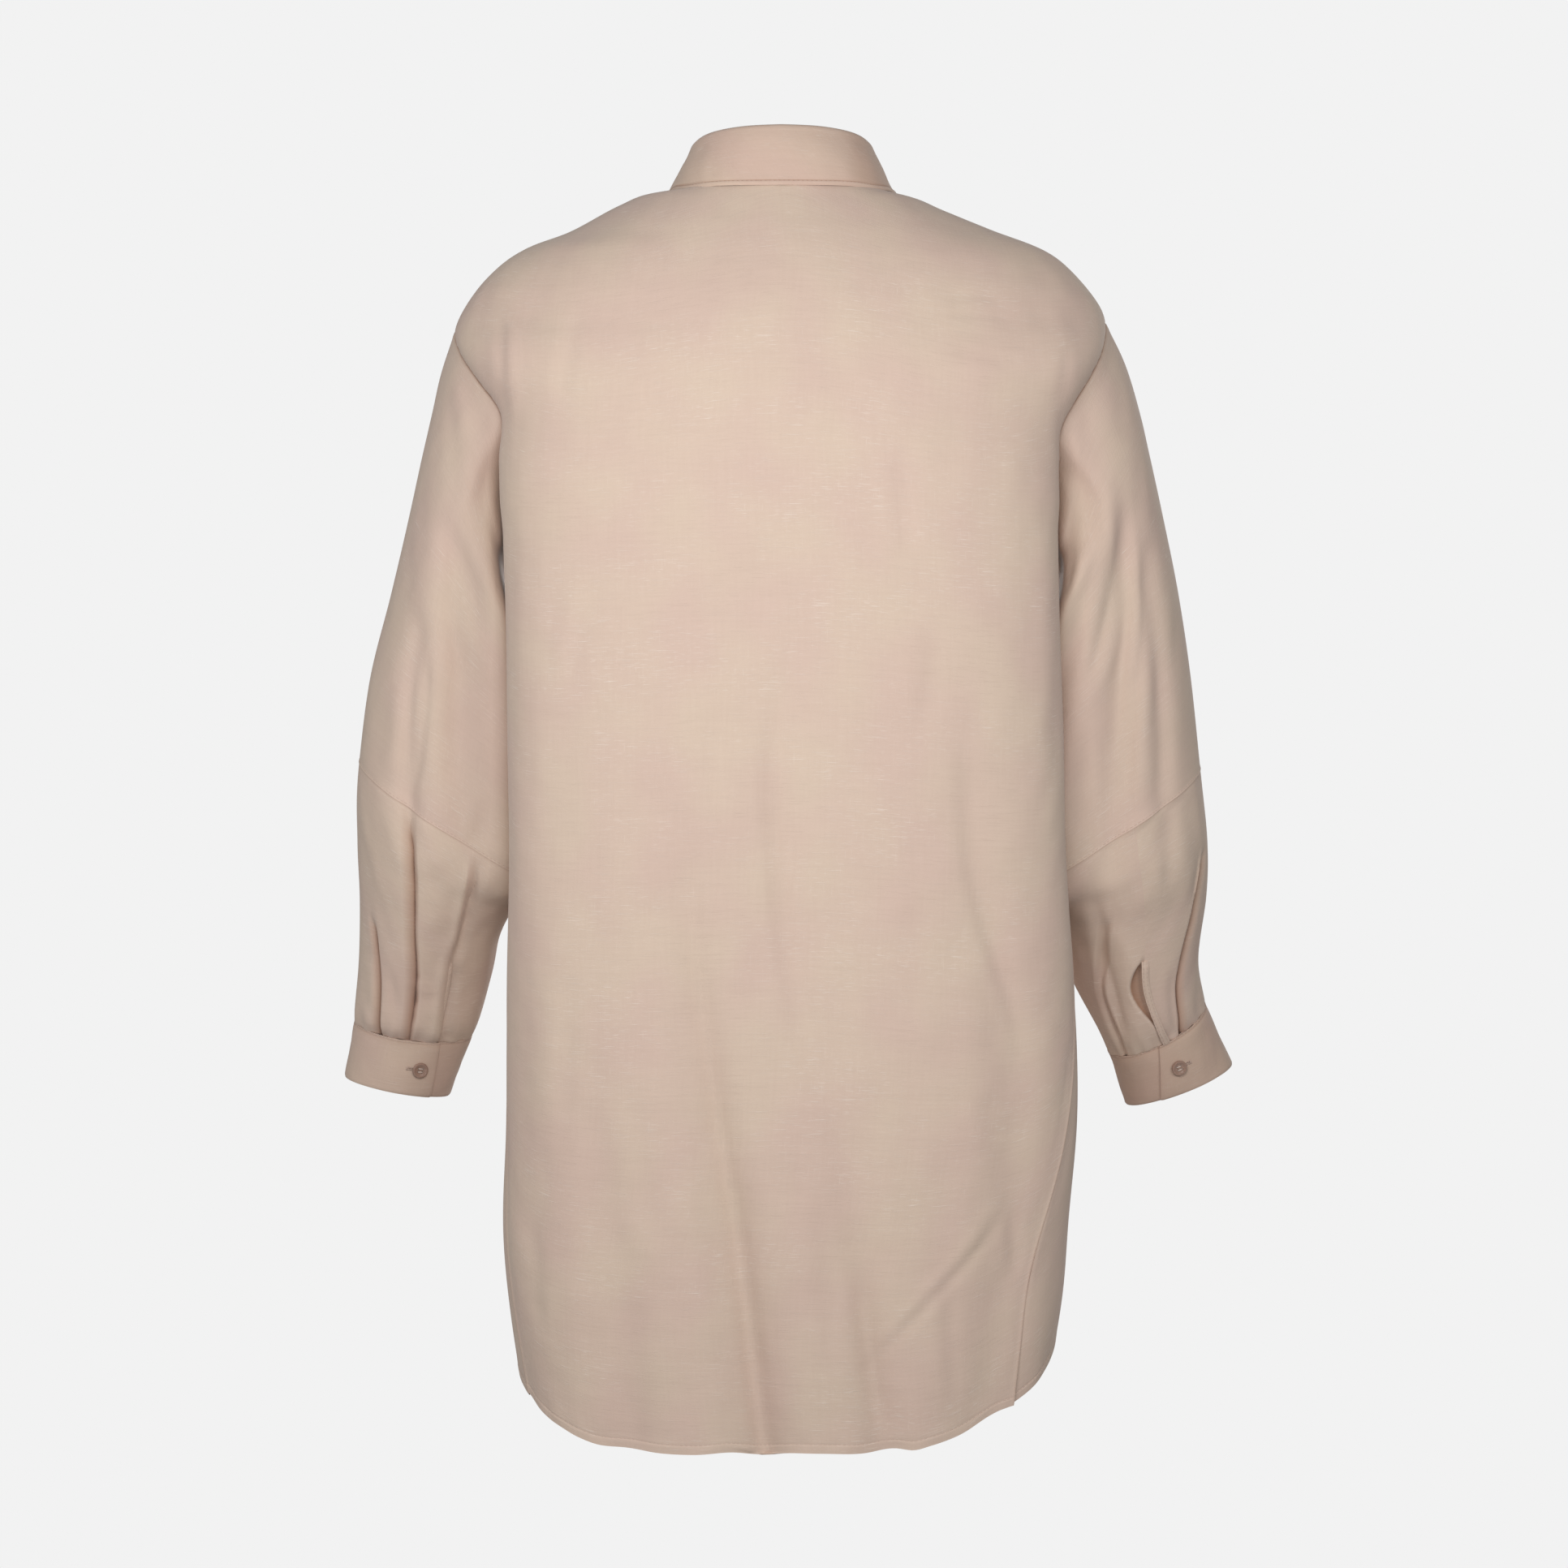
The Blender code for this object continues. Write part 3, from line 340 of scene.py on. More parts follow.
# %% Tables of the sleeves
# The sleeves, from 0 at the armhole over 1 at the elbow seam to 2 at the cuff, whose edge is 3: the outer
# and inner end of each ring seen from behind, its middle and half-depth from front to back, and how many
# degrees its back tips down.
RING = "s outer_x outer_z inner_x inner_z mid depth tip"
SLEEVES = {
    "left": table(
        RING,
        (0.00, 0.235, -0.103, 0.184, -0.250, -0.017, 0.062, 0),
        (0.10, 0.246, -0.133, 0.198, -0.264, -0.028, 0.065, 1),
        (0.20, 0.253, -0.161, 0.200, -0.281, -0.034, 0.067, 2),
        (0.30, 0.260, -0.190, 0.197, -0.301, -0.038, 0.069, 3),
        (0.45, 0.270, -0.234, 0.193, -0.331, -0.043, 0.070, 4),
        (0.65, 0.284, -0.292, 0.190, -0.373, -0.048, 0.070, 6),
        (0.83, 0.299, -0.351, 0.189, -0.425, -0.051, 0.069, 8),
        (1.00, 0.307, -0.410, 0.189, -0.482, -0.054, 0.067, 10),
        (1.30, 0.309, -0.469, 0.196, -0.514, -0.062, 0.063, 12),
        (1.55, 0.308, -0.513, 0.207, -0.538, -0.071, 0.057, 13),
        (1.80, 0.310, -0.564, 0.214, -0.569, -0.080, 0.049, 14),
        (1.93, 0.313, -0.592, 0.223, -0.600, -0.084, 0.042, 15),
        (2.00, 0.313, -0.600, 0.228, -0.611, -0.087, 0.037, 13),
    ),
    "right": table(
        RING,
        (0.00, 0.2295, -0.097, 0.182, -0.250, -0.017, 0.062, 0),
        (0.10, 0.245, -0.127, 0.197, -0.264, -0.028, 0.065, 1),
        (0.20, 0.256, -0.161, 0.200, -0.281, -0.034, 0.067, 2),
        (0.30, 0.263, -0.190, 0.197, -0.301, -0.038, 0.069, 3),
        (0.45, 0.273, -0.234, 0.193, -0.331, -0.043, 0.070, 4),
        (0.65, 0.285, -0.292, 0.190, -0.373, -0.048, 0.070, 6),
        (0.83, 0.294, -0.351, 0.190, -0.425, -0.052, 0.069, 8),
        (1.00, 0.301, -0.415, 0.190, -0.484, -0.056, 0.067, 10),
        (1.30, 0.307, -0.471, 0.194, -0.514, -0.064, 0.063, 12),
        (1.55, 0.307, -0.507, 0.201, -0.537, -0.074, 0.057, 15),
        (1.80, 0.302, -0.558, 0.212, -0.573, -0.085, 0.049, 19),
        (1.93, 0.306, -0.580, 0.230, -0.606, -0.092, 0.042, 22),
        (2.00, 0.308, -0.589, 0.237, -0.622, -0.096, 0.037, 20),
    ),
}
CUFF_EDGES = {
    "left": table(RING, (3, 0.321, -0.641, 0.245, -0.655, -0.097, 0.037, 6)),
    "right": table(RING, (3, 0.329, -0.633, 0.251, -0.662, -0.113, 0.037, 9)),
}
CAP_BLEND = 0.35  # of the upper sleeve, over which the armhole's shape turns into the sleeve's own rings
FOLD_END = 0.25  # of the forearm, over which the upper sleeve's folds end below the elbow seam
# Soft folds of the upper sleeves: a trough's angle round the sleeve, its half-width in degrees and depth.
SLEEVE_FOLD = "s angle width depth"
SLEEVE_FOLDS = {
    "left": (
        table(
            SLEEVE_FOLD,
            (0.20, 78, 16, 0),
            (0.45, 84, 14, 0.005),
            (0.70, 100, 13, 0.006),
            (1.00, 112, 12, 0.003),
        ),
        table(SLEEVE_FOLD, (0.50, 58, 9, 0), (0.80, 64, 8, 0.004), (1.00, 70, 8, 0.006)),
    ),
    "right": (
        table(
            SLEEVE_FOLD,
            (0.20, 70, 14, 0),
            (0.40, 72, 12, 0.006),
            (0.70, 88, 12, 0.008),
            (1.00, 104, 12, 0.004),
        ),
        table(
            SLEEVE_FOLD,
            (0.30, 118, 14, 0),
            (0.50, 128, 14, 0.008),
            (0.75, 140, 12, 0.005),
            (1.00, 146, 12, 0),
        ),
        table(SLEEVE_FOLD, (0.45, 50, 9, 0), (0.75, 56, 9, 0.005), (1.00, 62, 9, 0.004)),
    ),
}
print("rings of each sleeve:", {side: len(rows["s"]) for side, rows in SLEEVES.items()})

# %% The sleeves' surface
def sleeve_fold_depth(side, s, angle):
    """How deep the soft folds of the upper sleeve are."""
    depth = np.zeros_like(s)
    for rows in SLEEVE_FOLDS[side]:
        away = (angle - read(rows, "angle", s)) / read(rows, "width", s)
        depth += np.where(s > rows["s"][0], read(rows, "depth", s), 0) * np.exp(-away * away)
    return depth * (1 - ease((s - 1) / FOLD_END))


def sleeve_value(side, column, s):
    """A column of a sleeve's rings; the cuff runs straight from its seam to its edge."""
    value = read(SLEEVES[side], column, s)
    return value + (CUFF_EDGES[side][column][0] - value) * np.clip(s - 2, 0, 1)


def sleeve_ring(side, s, angle):
    """Middles of a sleeve's oval rings, and the points on them."""
    sign, none = (1 if side == "left" else -1), np.zeros_like(s)
    value = {column: sleeve_value(side, column, s) for column in RING.split()[1:]}
    outer = np.stack([sign * value["outer_x"], value["mid"], value["outer_z"]], -1)
    inner = np.stack([sign * value["inner_x"], value["mid"], value["inner_z"]], -1)
    tip = np.radians(value["tip"])
    deep = np.stack([none, value["depth"] * np.cos(tip), -value["depth"] * np.sin(tip)], -1)
    round_x, round_y = np.cos(np.radians(angle))[..., None], np.sin(np.radians(angle))[..., None]
    centre = (outer + inner) / 2
    return centre, centre + round_x * (outer - inner) / 2 + round_y * deep


def sleeve(side, s, angle, lift=0):
    """Points of a sleeve or cuff, moved out by lift."""
    s, angle = np.broadcast_arrays(np.asarray(s, float), np.asarray(angle, float))
    centre, points = sleeve_ring(side, s, angle)
    away = points - centre
    size = np.linalg.norm(away, axis=-1, keepdims=True)
    lift = lift - sleeve_fold_depth(side, s, angle % 360)
    fade = (1 - ease(s / CAP_BLEND))[..., None]
    cap = fade * (armhole(side, angle) - sleeve_ring(side, 0 * s, angle)[1])
    return points + away / size * np.asarray(lift)[..., None] + cap


for side in SLEEVES:
    print(side, "wrist, outer and inner side:", sleeve(side, 3.0, np.array([0, 180])).round(3).tolist())

# %% [markdown]
# ## Creases, one by one
# Worn linen keeps sharper creases than the big folds. Sculpting them would leave no trace in the script, so
# each is a soft trough with a ridge beside it, placed where the cloth shows one from behind. Their places are
# on an upright plane through the origin as the camera sees it, because that is where they were measured. The
# hidden front gets a few similar ones.

# %% Tables of creases
CAMERA = (0, 4.0, -0.428)
CREASE = "x z to_x to_z bow width depth"  # where each one starts and ends, and how far it bows aside
CREASES = {
    "back": table(
        CREASE,
        (-0.0841, -0.1839, -0.0905, -0.2767, 0.0012, 0.0064, 0.0013),
        (0.0551, -0.3753, 0.0487, -0.4507, 0.0, 0.0052, 0.0009),
        (-0.0539, -0.761, -0.0737, -0.9031, 0.0023, 0.007, 0.0018),
        (-0.1061, -0.0847, -0.1583, -0.0824, -0.0046, 0.0041, 0.0005),
        (-0.1061, -0.1003, -0.1641, -0.1044, -0.0041, 0.0046, -0.0004),
        (-0.105, -0.116, -0.1734, -0.1334, -0.0035, 0.0046, 0.0006),
        (0.2047, -0.0742, 0.1769, -0.1021, 0.0, 0.0052, 0.0012),
        (0.1467, -0.0835, 0.1601, -0.1607, 0.0012, 0.0058, 0.0009),
        (0.1322, -0.268, 0.1543, -0.3666, 0.0017, 0.0064, 0.001),
        (0.1978, -0.2274, 0.1931, -0.4536, 0.0017, 0.0064, 0.0011),
        (-0.1978, -0.2216, -0.1926, -0.4478, -0.0023, 0.0064, 0.0014),
        (-0.163, -0.7233, -0.1665, -0.7842, 0.0, 0.0058, 0.0016),
        (-0.1409, -0.6508, -0.1549, -0.6867, 0.0, 0.007, 0.001),
        (0.1073, -0.6334, 0.0887, -0.7726, 0.0029, 0.0093, 0.0012),
        (0.1537, -0.5522, 0.1595, -0.6914, -0.0017, 0.0081, 0.001),
        (0.1798, -0.7204, 0.1746, -0.8306, 0.0012, 0.0058, 0.0012),
        (-0.0261, -0.703, -0.0412, -0.8538, 0.0023, 0.0081, 0.0011),
        (-0.1189, -0.7726, -0.1247, -0.8886, 0.0017, 0.0064, 0.0013),
        (-0.1073, -0.3086, -0.1003, -0.3898, -0.0017, 0.007, 0.0008),
        (0.0841, -0.1114, 0.0922, -0.1926, 0.0017, 0.0081, 0.0006),
        (0.2001, -0.1752, 0.2024, -0.0835, 0.0, 0.0041, 0.0013),
        (-0.1972, -0.181, -0.2013, -0.1114, 0.0, 0.0041, 0.001),
    ),
    "front": table(
        CREASE,
        (0.060, -0.16, 0.075, -0.30, 0.004, 0.008, 0.0012),
        (-0.066, -0.15, -0.080, -0.33, -0.004, 0.008, 0.0012),
        (0.160, -0.24, 0.120, -0.42, 0.006, 0.009, 0.0013),
        (-0.158, -0.25, -0.118, -0.44, -0.006, 0.009, 0.0014),
        (0.110, -0.52, 0.098, -0.78, 0.004, 0.010, 0.0014),
        (-0.120, -0.50, -0.102, -0.80, 0.004, 0.010, 0.0013),
        (0.050, -0.60, 0.040, -0.84, 0.003, 0.009, 0.0012),
        (-0.048, -0.62, -0.052, -0.85, 0.003, 0.009, 0.0012),
        (0.150, -0.10, 0.178, -0.135, 0, 0.006, 0.0010),
        (-0.146, -0.10, -0.176, -0.140, 0, 0.006, 0.0010),
    ),
    "left": table(
        CREASE,
        (0.2511, -0.2332, 0.2604, -0.326, 0.0, 0.0087, -0.0015),
        (0.2419, -0.2366, 0.2152, -0.3352, -0.0029, 0.007, 0.0024),
        (0.254, -0.326, 0.2645, -0.4391, -0.0017, 0.0032, 0.0018),
        (0.2709, -0.3526, 0.279, -0.4292, 0.0, 0.0075, -0.0011),
        (0.21, -0.4362, 0.221, -0.4779, 0.0, 0.0052, 0.0017),
        (0.2059, -0.1926, 0.2024, -0.3202, -0.0017, 0.0058, 0.0018),
        (0.2314, -0.3666, 0.2349, -0.4391, 0.0023, 0.0075, 0.0012),
        (0.268, -0.5632, 0.2459, -0.5696, 0.0012, 0.0026, 0.0008),
        (0.2685, -0.5788, 0.2442, -0.5852, 0.0012, 0.0026, 0.001),
        (0.2668, -0.5933, 0.2471, -0.5997, 0.0012, 0.0026, 0.0008),
        (0.3039, -0.5464, 0.2894, -0.5539, 0.0012, 0.0029, 0.0008),
        (0.3022, -0.5725, 0.2917, -0.5997, 0.0, 0.0029, 0.0009),
        (0.2801, -0.558, 0.2767, -0.609, 0.0, 0.0029, 0.0009),
        (0.2262, -0.123, 0.2163, -0.1926, -0.0012, 0.0058, 0.001),
        (0.2436, -0.1404, 0.2349, -0.2042, -0.0012, 0.007, 0.0008),
        (0.2163, -0.4756, 0.2349, -0.5638, 0.0, 0.0035, 0.004),
        (0.2337, -0.5348, 0.2448, -0.6218, 0.0, 0.0035, 0.003),
    ),
    "right": table(
        CREASE,
        (-0.2036, -0.21, -0.2042, -0.3144, 0.0012, 0.0075, 0.0026),
        (-0.2216, -0.2477, -0.2018, -0.3016, 0.0, 0.0052, -0.0016),
        (-0.2448, -0.2071, -0.2134, -0.3654, -0.0081, 0.007, 0.0026),
        (-0.2471, -0.2651, -0.2227, -0.3712, -0.0029, 0.0052, -0.0015),
        (-0.2134, -0.3869, -0.2123, -0.4756, 0.0, 0.0081, 0.0022),
        (-0.2198, -0.4895, -0.2488, -0.6345, 0.0023, 0.0046, 0.0019),
        (-0.243, -0.5319, -0.2529, -0.5957, 0.0, 0.0046, -0.0013),
        (-0.225, -0.5377, -0.2424, -0.6183, 0.0012, 0.0035, 0.0013),
        (-0.2326, -0.5609, -0.2488, -0.6171, 0.0012, 0.0029, 0.001),
        (-0.2761, -0.5551, -0.2796, -0.6113, 0.0, 0.0035, 0.001),
        (-0.2796, -0.4362, -0.2755, -0.5116, 0.0012, 0.0052, 0.0011),
        (-0.2117, -0.1404, -0.2245, -0.2158, 0.0017, 0.0064, 0.001),
        (-0.239, -0.123, -0.2477, -0.1926, 0.0017, 0.007, 0.0008),
    ),
}
LONG_CREASES = {
    "back": (
        table(
            FOLD,
            (-0.906, 0.0133, 0.007, 0.0026),
            (-0.8248, 0.0232, 0.007, 0.0028),
            (-0.7378, 0.0348, 0.0064, 0.0026),
            (-0.6508, 0.0493, 0.0058, 0.002),
            (-0.5522, 0.0638, 0.0052, 0.0014),
            (-0.471, 0.0696, 0.0046, 0.0),
        ),
        table(
            FOLD,
            (-0.6392, -0.0162, 0.0052, 0.0),
            (-0.5348, 0.0, 0.0058, 0.0017),
            (-0.4188, 0.0087, 0.0058, 0.0015),
            (-0.3318, 0.0029, 0.0052, 0.0),
        ),
        table(
            FOLD,
            (-0.8538, -0.0522, 0.0058, 0.0),
            (-0.7958, -0.1073, 0.0058, 0.0011),
            (-0.7552, -0.1433, 0.0058, 0.0012),
            (-0.7204, -0.1618, 0.0052, 0.0),
        ),
        table(
            FOLD,
            (-0.6276, -0.1711, 0.0058, 0.0),
            (-0.5928, -0.1653, 0.0064, 0.0016),
            (-0.4942, -0.1363, 0.0064, 0.0017),
            (-0.384, -0.1305, 0.0058, 0.0),
        ),
    ),
    "right": (
        table(
            FOLD,
            (-0.4768, -0.25, 0.0052, 0.0),
            (-0.4246, -0.2465, 0.0052, 0.0018),
            (-0.3724, -0.2511, 0.0052, 0.002),
            (-0.297, -0.2598, 0.0052, 0.002),
            (-0.2042, -0.2517, 0.0052, 0.0),
        ),
    ),
}
print("long creases:", {name: len(rows) for name, rows in LONG_CREASES.items()})

# %% The relief of creases
RIDGE = 0.5  # height of the ridge beside a trough, and how far off it lies in widths of the trough
RIDGE_ASIDE = 1.8
CREASE_FADE = 0.3  # of a crease's length, over which it comes in at either end
WAVES = 12
WAVE_SIZES = (0.7, 1.7)  # of the size asked for
# The soft unevenness of each kind of piece: a broad and a fine one, each with its height, its size and the
# seed of its waves, and how much faster the broad one changes along x, y and z.
UNEVENNESS = {
    "body": ((0.0007, 0.075, 3), (0.00022, 0.024, 5), (1, 1, 1)),
    "upper_sleeve": ((0.0008, 0.055, 11), (0.00025, 0.02, 12), (1, 1, 1)),
    "forearm": ((0.0008, 0.045, 21), (0.0003, 0.018, 22), (1, 1, 1)),
    "cuff": ((0.0005, 0.05, 31), (0.00015, 0.012, 32), (1, 1, 2.5)),
    "leaf": ((0.0008, 0.06, 41), (0.0002, 0.015, 42), (0.5, 0.5, 2.2)),
}


def seen(points):
    """Where points show on the upright plane through the origin, for the camera."""
    part = CAMERA[1] / (CAMERA[1] - points[..., 1])
    return points[..., 0] * part, CAMERA[2] + (points[..., 2] - CAMERA[2]) * part


def trough(away):
    """A trough's depth by the distance from its middle in widths, with the ridge beside it."""
    return np.exp(-away * away) - RIDGE * np.exp(-((away - RIDGE_ASIDE) ** 2))


def crease_depth(name, points):
    """How deep the creases of a piece are at its points."""
    x, z = seen(points)
    total = np.zeros_like(x)
    for x0, z0, x1, z1, bow, width, depth in zip(*CREASES[name].values()):
        length = math.hypot(x1 - x0, z1 - z0)
        along = ((x - x0) * (x1 - x0) + (z - z0) * (z1 - z0)) / length**2
        aside = ((x1 - x0) * (z - z0) - (z1 - z0) * (x - x0)) / length - bow * 4 * along * (1 - along)
        total += depth * ease(along / CREASE_FADE) * ease((1 - along) / CREASE_FADE) * trough(aside / width)
    for rows in LONG_CREASES.get(name, ()):
        here = (z > rows["z"][0]) & (z < rows["z"][-1])
        away = (x - read(rows, "x", z)) / read(rows, "width", z)
        total += here * read(rows, "depth", z) * trough(away)
    return total


def uneven(points, size, seed):
    """A soft unevenness between about -1 and 1, from waves that run mostly across the cloth's fall."""
    rng = np.random.default_rng(seed)
    total = np.zeros(points.shape[:-1])
    for _ in range(WAVES):
        way = rng.normal(size=3) * (1, 1, 0.4)
        way *= 2 * math.pi / (size * rng.uniform(*WAVE_SIZES) * np.linalg.norm(way))
        total += np.sin(points @ way + rng.uniform(0, 2 * math.pi))
    return total / (WAVES / 3)


def softness(kind, points):
    """The soft unevenness of a kind of piece at its points."""
    broad, fine, faster = UNEVENNESS[kind]
    return broad[0] * uneven(points * faster, *broad[1:]) + fine[0] * uneven(points, *fine[1:])


print("creases:", sum(len(rows["x"]) for rows in CREASES.values()))

# %% [markdown]
# ## Thin shells
# Cloth has two faces and an edge. A Solidify modifier could thicken one surface, but the slit needs rims on
# part of a seam only, so a grid of points is made into a closed shell directly: three quarters of a
# millimetre thick, and more in the interfaced bands. Its UV map is in metres along weft and warp, so the
# weave keeps its size everywhere. Grid lines lie closer together beside seams, where the cloth turns in.

# %% Make shells
THICK = 0.00075
BAND = 0.0011  # thickness of the interfaced cuffs and collar
STEP = 0.0039
FINE = np.array([0.15, 0.6, 1.1, 1.7, 2.4, 3.3, 4.6]) / 1000  # grid lines beside a seam
SHARP = math.radians(60)
cloth_pieces = {}


def spaced(length, start=FINE, end=FINE, step=STEP):
    """Places from 0 to 1 along a length, closer together beside its ends."""
    count = max(2, round((length - start[-1] - end[-1]) / step) + 1)
    middle = np.linspace(start[-1], length - end[-1], count)
    return np.concatenate([start[:-1], middle, (length - end[:-1])[::-1]]) / length


def arc(points, axis):
    """Distances along the grid's lines, from their first points."""
    step = np.linalg.norm(np.diff(points, axis=axis), axis=-1)
    return np.concatenate([np.zeros_like(np.take(step, [0], axis)), np.cumsum(step, axis)], axis)


def grid_lengths(points):
    """Distances across a grid from its first column, and down it from its first row."""
    return arc(points, 1), arc(points, 0)


def nearer_end(across):
    """The distance to the nearer end of each row of a grid."""
    return np.minimum(across, across[:, -1:] - across)


def outs_of(points, weld):
    """Unit directions out of a grid, and whether across x down points that way."""
    across, down = np.gradient(points, axis=1), np.gradient(points, axis=0)
    across[:weld, 0] = across[:weld, -1] = across[:weld, 0] + across[:weld, -1]
    outs = np.cross(across, down)
    outs /= np.linalg.norm(outs, axis=-1, keepdims=True)
    sign = np.sign(np.sum(outs * (points - points.mean(axis=1, keepdims=True))))
    return outs * sign, sign > 0


def add_object(name, data):
    """An object of the scene that holds a mesh, a light or a camera."""
    obj = bpy.data.objects.new(name, data)
    bpy.context.scene.collection.objects.link(obj)
    return obj


def shell(name, points, uv, lift, painted_shade, weld=0, thick=THICK):
    """A shell round a grid of points moved out by lift. The first rows, as many as weld says, close round."""
    points = points + outs_of(points, weld)[0] * lift[..., None]
    outs, same = outs_of(points, weld)
    rows, columns = points.shape[:2]
    count = rows * columns
    place = np.arange(count).reshape(rows, columns)
    a, b, c, d = place[:-1, :-1], place[:-1, 1:], place[1:, 1:], place[1:, :-1]
    quads = np.stack([a, b, c, d], -1).reshape(-1, 4)
    rims = [(a[0], b[0]), (c[-1], d[-1]), (b[weld:, -1], c[weld:, -1]), (d[weld:, 0], a[weld:, 0])]
    rim = np.concatenate([np.stack([q, p, p + count, q + count], -1) for p, q in rims])
    faces = np.concatenate([quads, quads[:, ::-1] + count, rim])
    faces = faces if same else faces[:, ::-1]
    whole = np.concatenate([place.ravel(), place.ravel() + count]).reshape(2, rows, columns)
    whole[:, :weld, -1] = whole[:, :weld, 0]
    used, corners = np.unique(whole.ravel()[faces], return_inverse=True)
    both = np.concatenate([points + outs * thick / 2, points - outs * thick / 2]).reshape(-1, 3)
    mesh = bpy.data.meshes.new(name)
    mesh.from_pydata(both[used].tolist(), [], corners.reshape(-1, 4).tolist())
    layer = mesh.uv_layers.new(name="UVMap")
    layer.data.foreach_set("uv", np.tile(uv.reshape(-1, 2), (2, 1))[faces.ravel()].ravel())
    # each point's painted shade, which the cloth material mixes in as a warm dark brown
    shade = mesh.attributes.new("painted_shade", "FLOAT", "POINT")
    shade.data.foreach_set("value", np.tile(painted_shade.ravel(), 2)[used])
    mesh.shade_smooth()
    mesh.set_sharp_from_angle(angle=SHARP)
    cloth_pieces[name] = {"object": add_object(name, mesh), "points": points, "outs": outs}
    print(name, "triangles", 2 * len(faces), "area", round(sum(f.area for f in mesh.polygons) / 2, 4))


def beside(distance, reach):
    """1 at an edge, falling to 0 further off than reach."""
    return np.exp(-((distance / reach) ** 2))


def doubled(distance, width, height, early=0.0003, over=0.0006):
    """A doubled band beside an edge: proud by its height, and level again from a little before its width."""
    return height * (1 - ease((distance - width + early) / over))


# %% [markdown]
# ## Hem
# The hem is turned up twice and sewn 6 mm above the edge. The doubled band stands a little proud, the
# stitches pull a groove with tiny puckers, and the loose edge ripples where the folds end. All of it is
# relief on the shell's own grid, because a separate band would leave a seam that the real hem doesn't have.

# %% Relief of hem and seams
HEM_LINES = np.array([0, 0.7, 1.5, 2.6, 3.8, 5.0, 5.7, 6.2, 6.7, 7.3, 8.2, 9.6, 12]) / 1000
HEM_WIDTH = 0.0062
HEM_GROOVE = 0.00022
PUCKER_LENGTH = 0.0045  # of the stitches' puckers, and of the drift that keeps them from being even
PUCKER_DRIFT = 0.031
RIPPLE = table(
    "x rise",
    (-0.1943, 0.0026), (-0.1827, 0.0003), (-0.1711, -0.0022), (-0.1479, 0.0030), (-0.1247, 0.0023),
    (-0.1015, 0.0013), (-0.0899, 0.0002), (-0.0783, 0.0026), (-0.0551, 0.0020), (-0.0319, 0.0020),
    (-0.0087, 0.0012), (0.0145, -0.0005), (0.0377, 0.0029), (0.0609, 0.0015), (0.0841, 0.0010),
    (0.1073, 0.0015), (0.1305, -0.0004), (0.1421, 0.0006), (0.1537, 0.0017), (0.1653, 0.0017),
    (0.1885, 0.0036),
)
RIPPLE_REACH = 0.035
SIDE_RIDGE = {"back": 0.0007, "front": -0.0004}  # the back's edge lies over the fronts'
SEAM_SINK = 0.0010  # how deep both edges turn in at an armhole
EASING = 0.00025  # the ripples of an eased edge, and their length
EASING_LENGTH = 0.0016
FULL_SIDE = 0.0009  # the tube is this much fuller along its outline, which lies this far from the middle
OUTLINE = 0.196
CHEST_REACH = 0.07
CHEST_ROUNDS = 60
# Creases fade in where the cloth turns towards the camera. They also do so over a distance from side seam
# and armhole, over some part of a level from the neck, and across the sewing line of a front's button stand.
TURNED = 0.08
TURNED_FADE = 0.42
PLAIN_SEAM = 0.014
PLAIN_NECK = 0.15
PLAIN_STAND = 0.02
STAND_FADE = 0.03
SEAM_SHADE = 0.0011  # reach of the painted shade line along a seam


def hem_lift(away, along):
    """Relief of a hem by the distance from its edge and along it."""
    groove = HEM_GROOVE * beside(away - HEM_WIDTH, reach=0.0007)
    wave = np.sin(along / PUCKER_LENGTH + 2 * np.sin(along / PUCKER_DRIFT + 1.0))
    pucker = wave * beside(away - HEM_WIDTH, reach=0.004)
    return doubled(away, HEM_WIDTH, height=0.0002, early=0.0004) - groove + HEM_GROOVE * pucker


def eased(along, away, reach):
    """Tiny ripples where one edge is eased onto the other."""
    return EASING * np.sin(along / EASING_LENGTH) * beside(away, reach)


def seam_lift(level, away, along, half):
    """Relief beside the ends of a body piece: side seam, armhole and shoulder seam."""
    side = SIDE_RIDGE[half] * beside(away, reach=0.0022)
    hole = -SEAM_SINK * beside(away, reach=0.0010) + eased(along, away, reach=0.005)
    top = -0.0004 * beside(away, reach=0.0012)
    return np.where(level < 1, side, np.where(level < 2, hole, top))


def inside_outline(points, weld=0):
    """1 where the cloth faces back or front, falling to 0 at its outline as seen from behind."""
    outs, _ = outs_of(points, weld)
    return ease((np.abs(outs[..., 1]) - TURNED) / TURNED_FADE)


def soften_chest(points, ends):
    """The front's surface without the bend that the rings leave at the underarm."""
    near = (1 - ease(np.abs(points[..., 2] - UNDERARM) / CHEST_REACH)) * ease((ends - 0.004) / 0.03)
    for _ in range(CHEST_ROUNDS):
        step = (points[:-2] + points[2:]) / 2 - points[1:-1]
        points[1:-1] += near[1:-1, :, None] * step
    return points


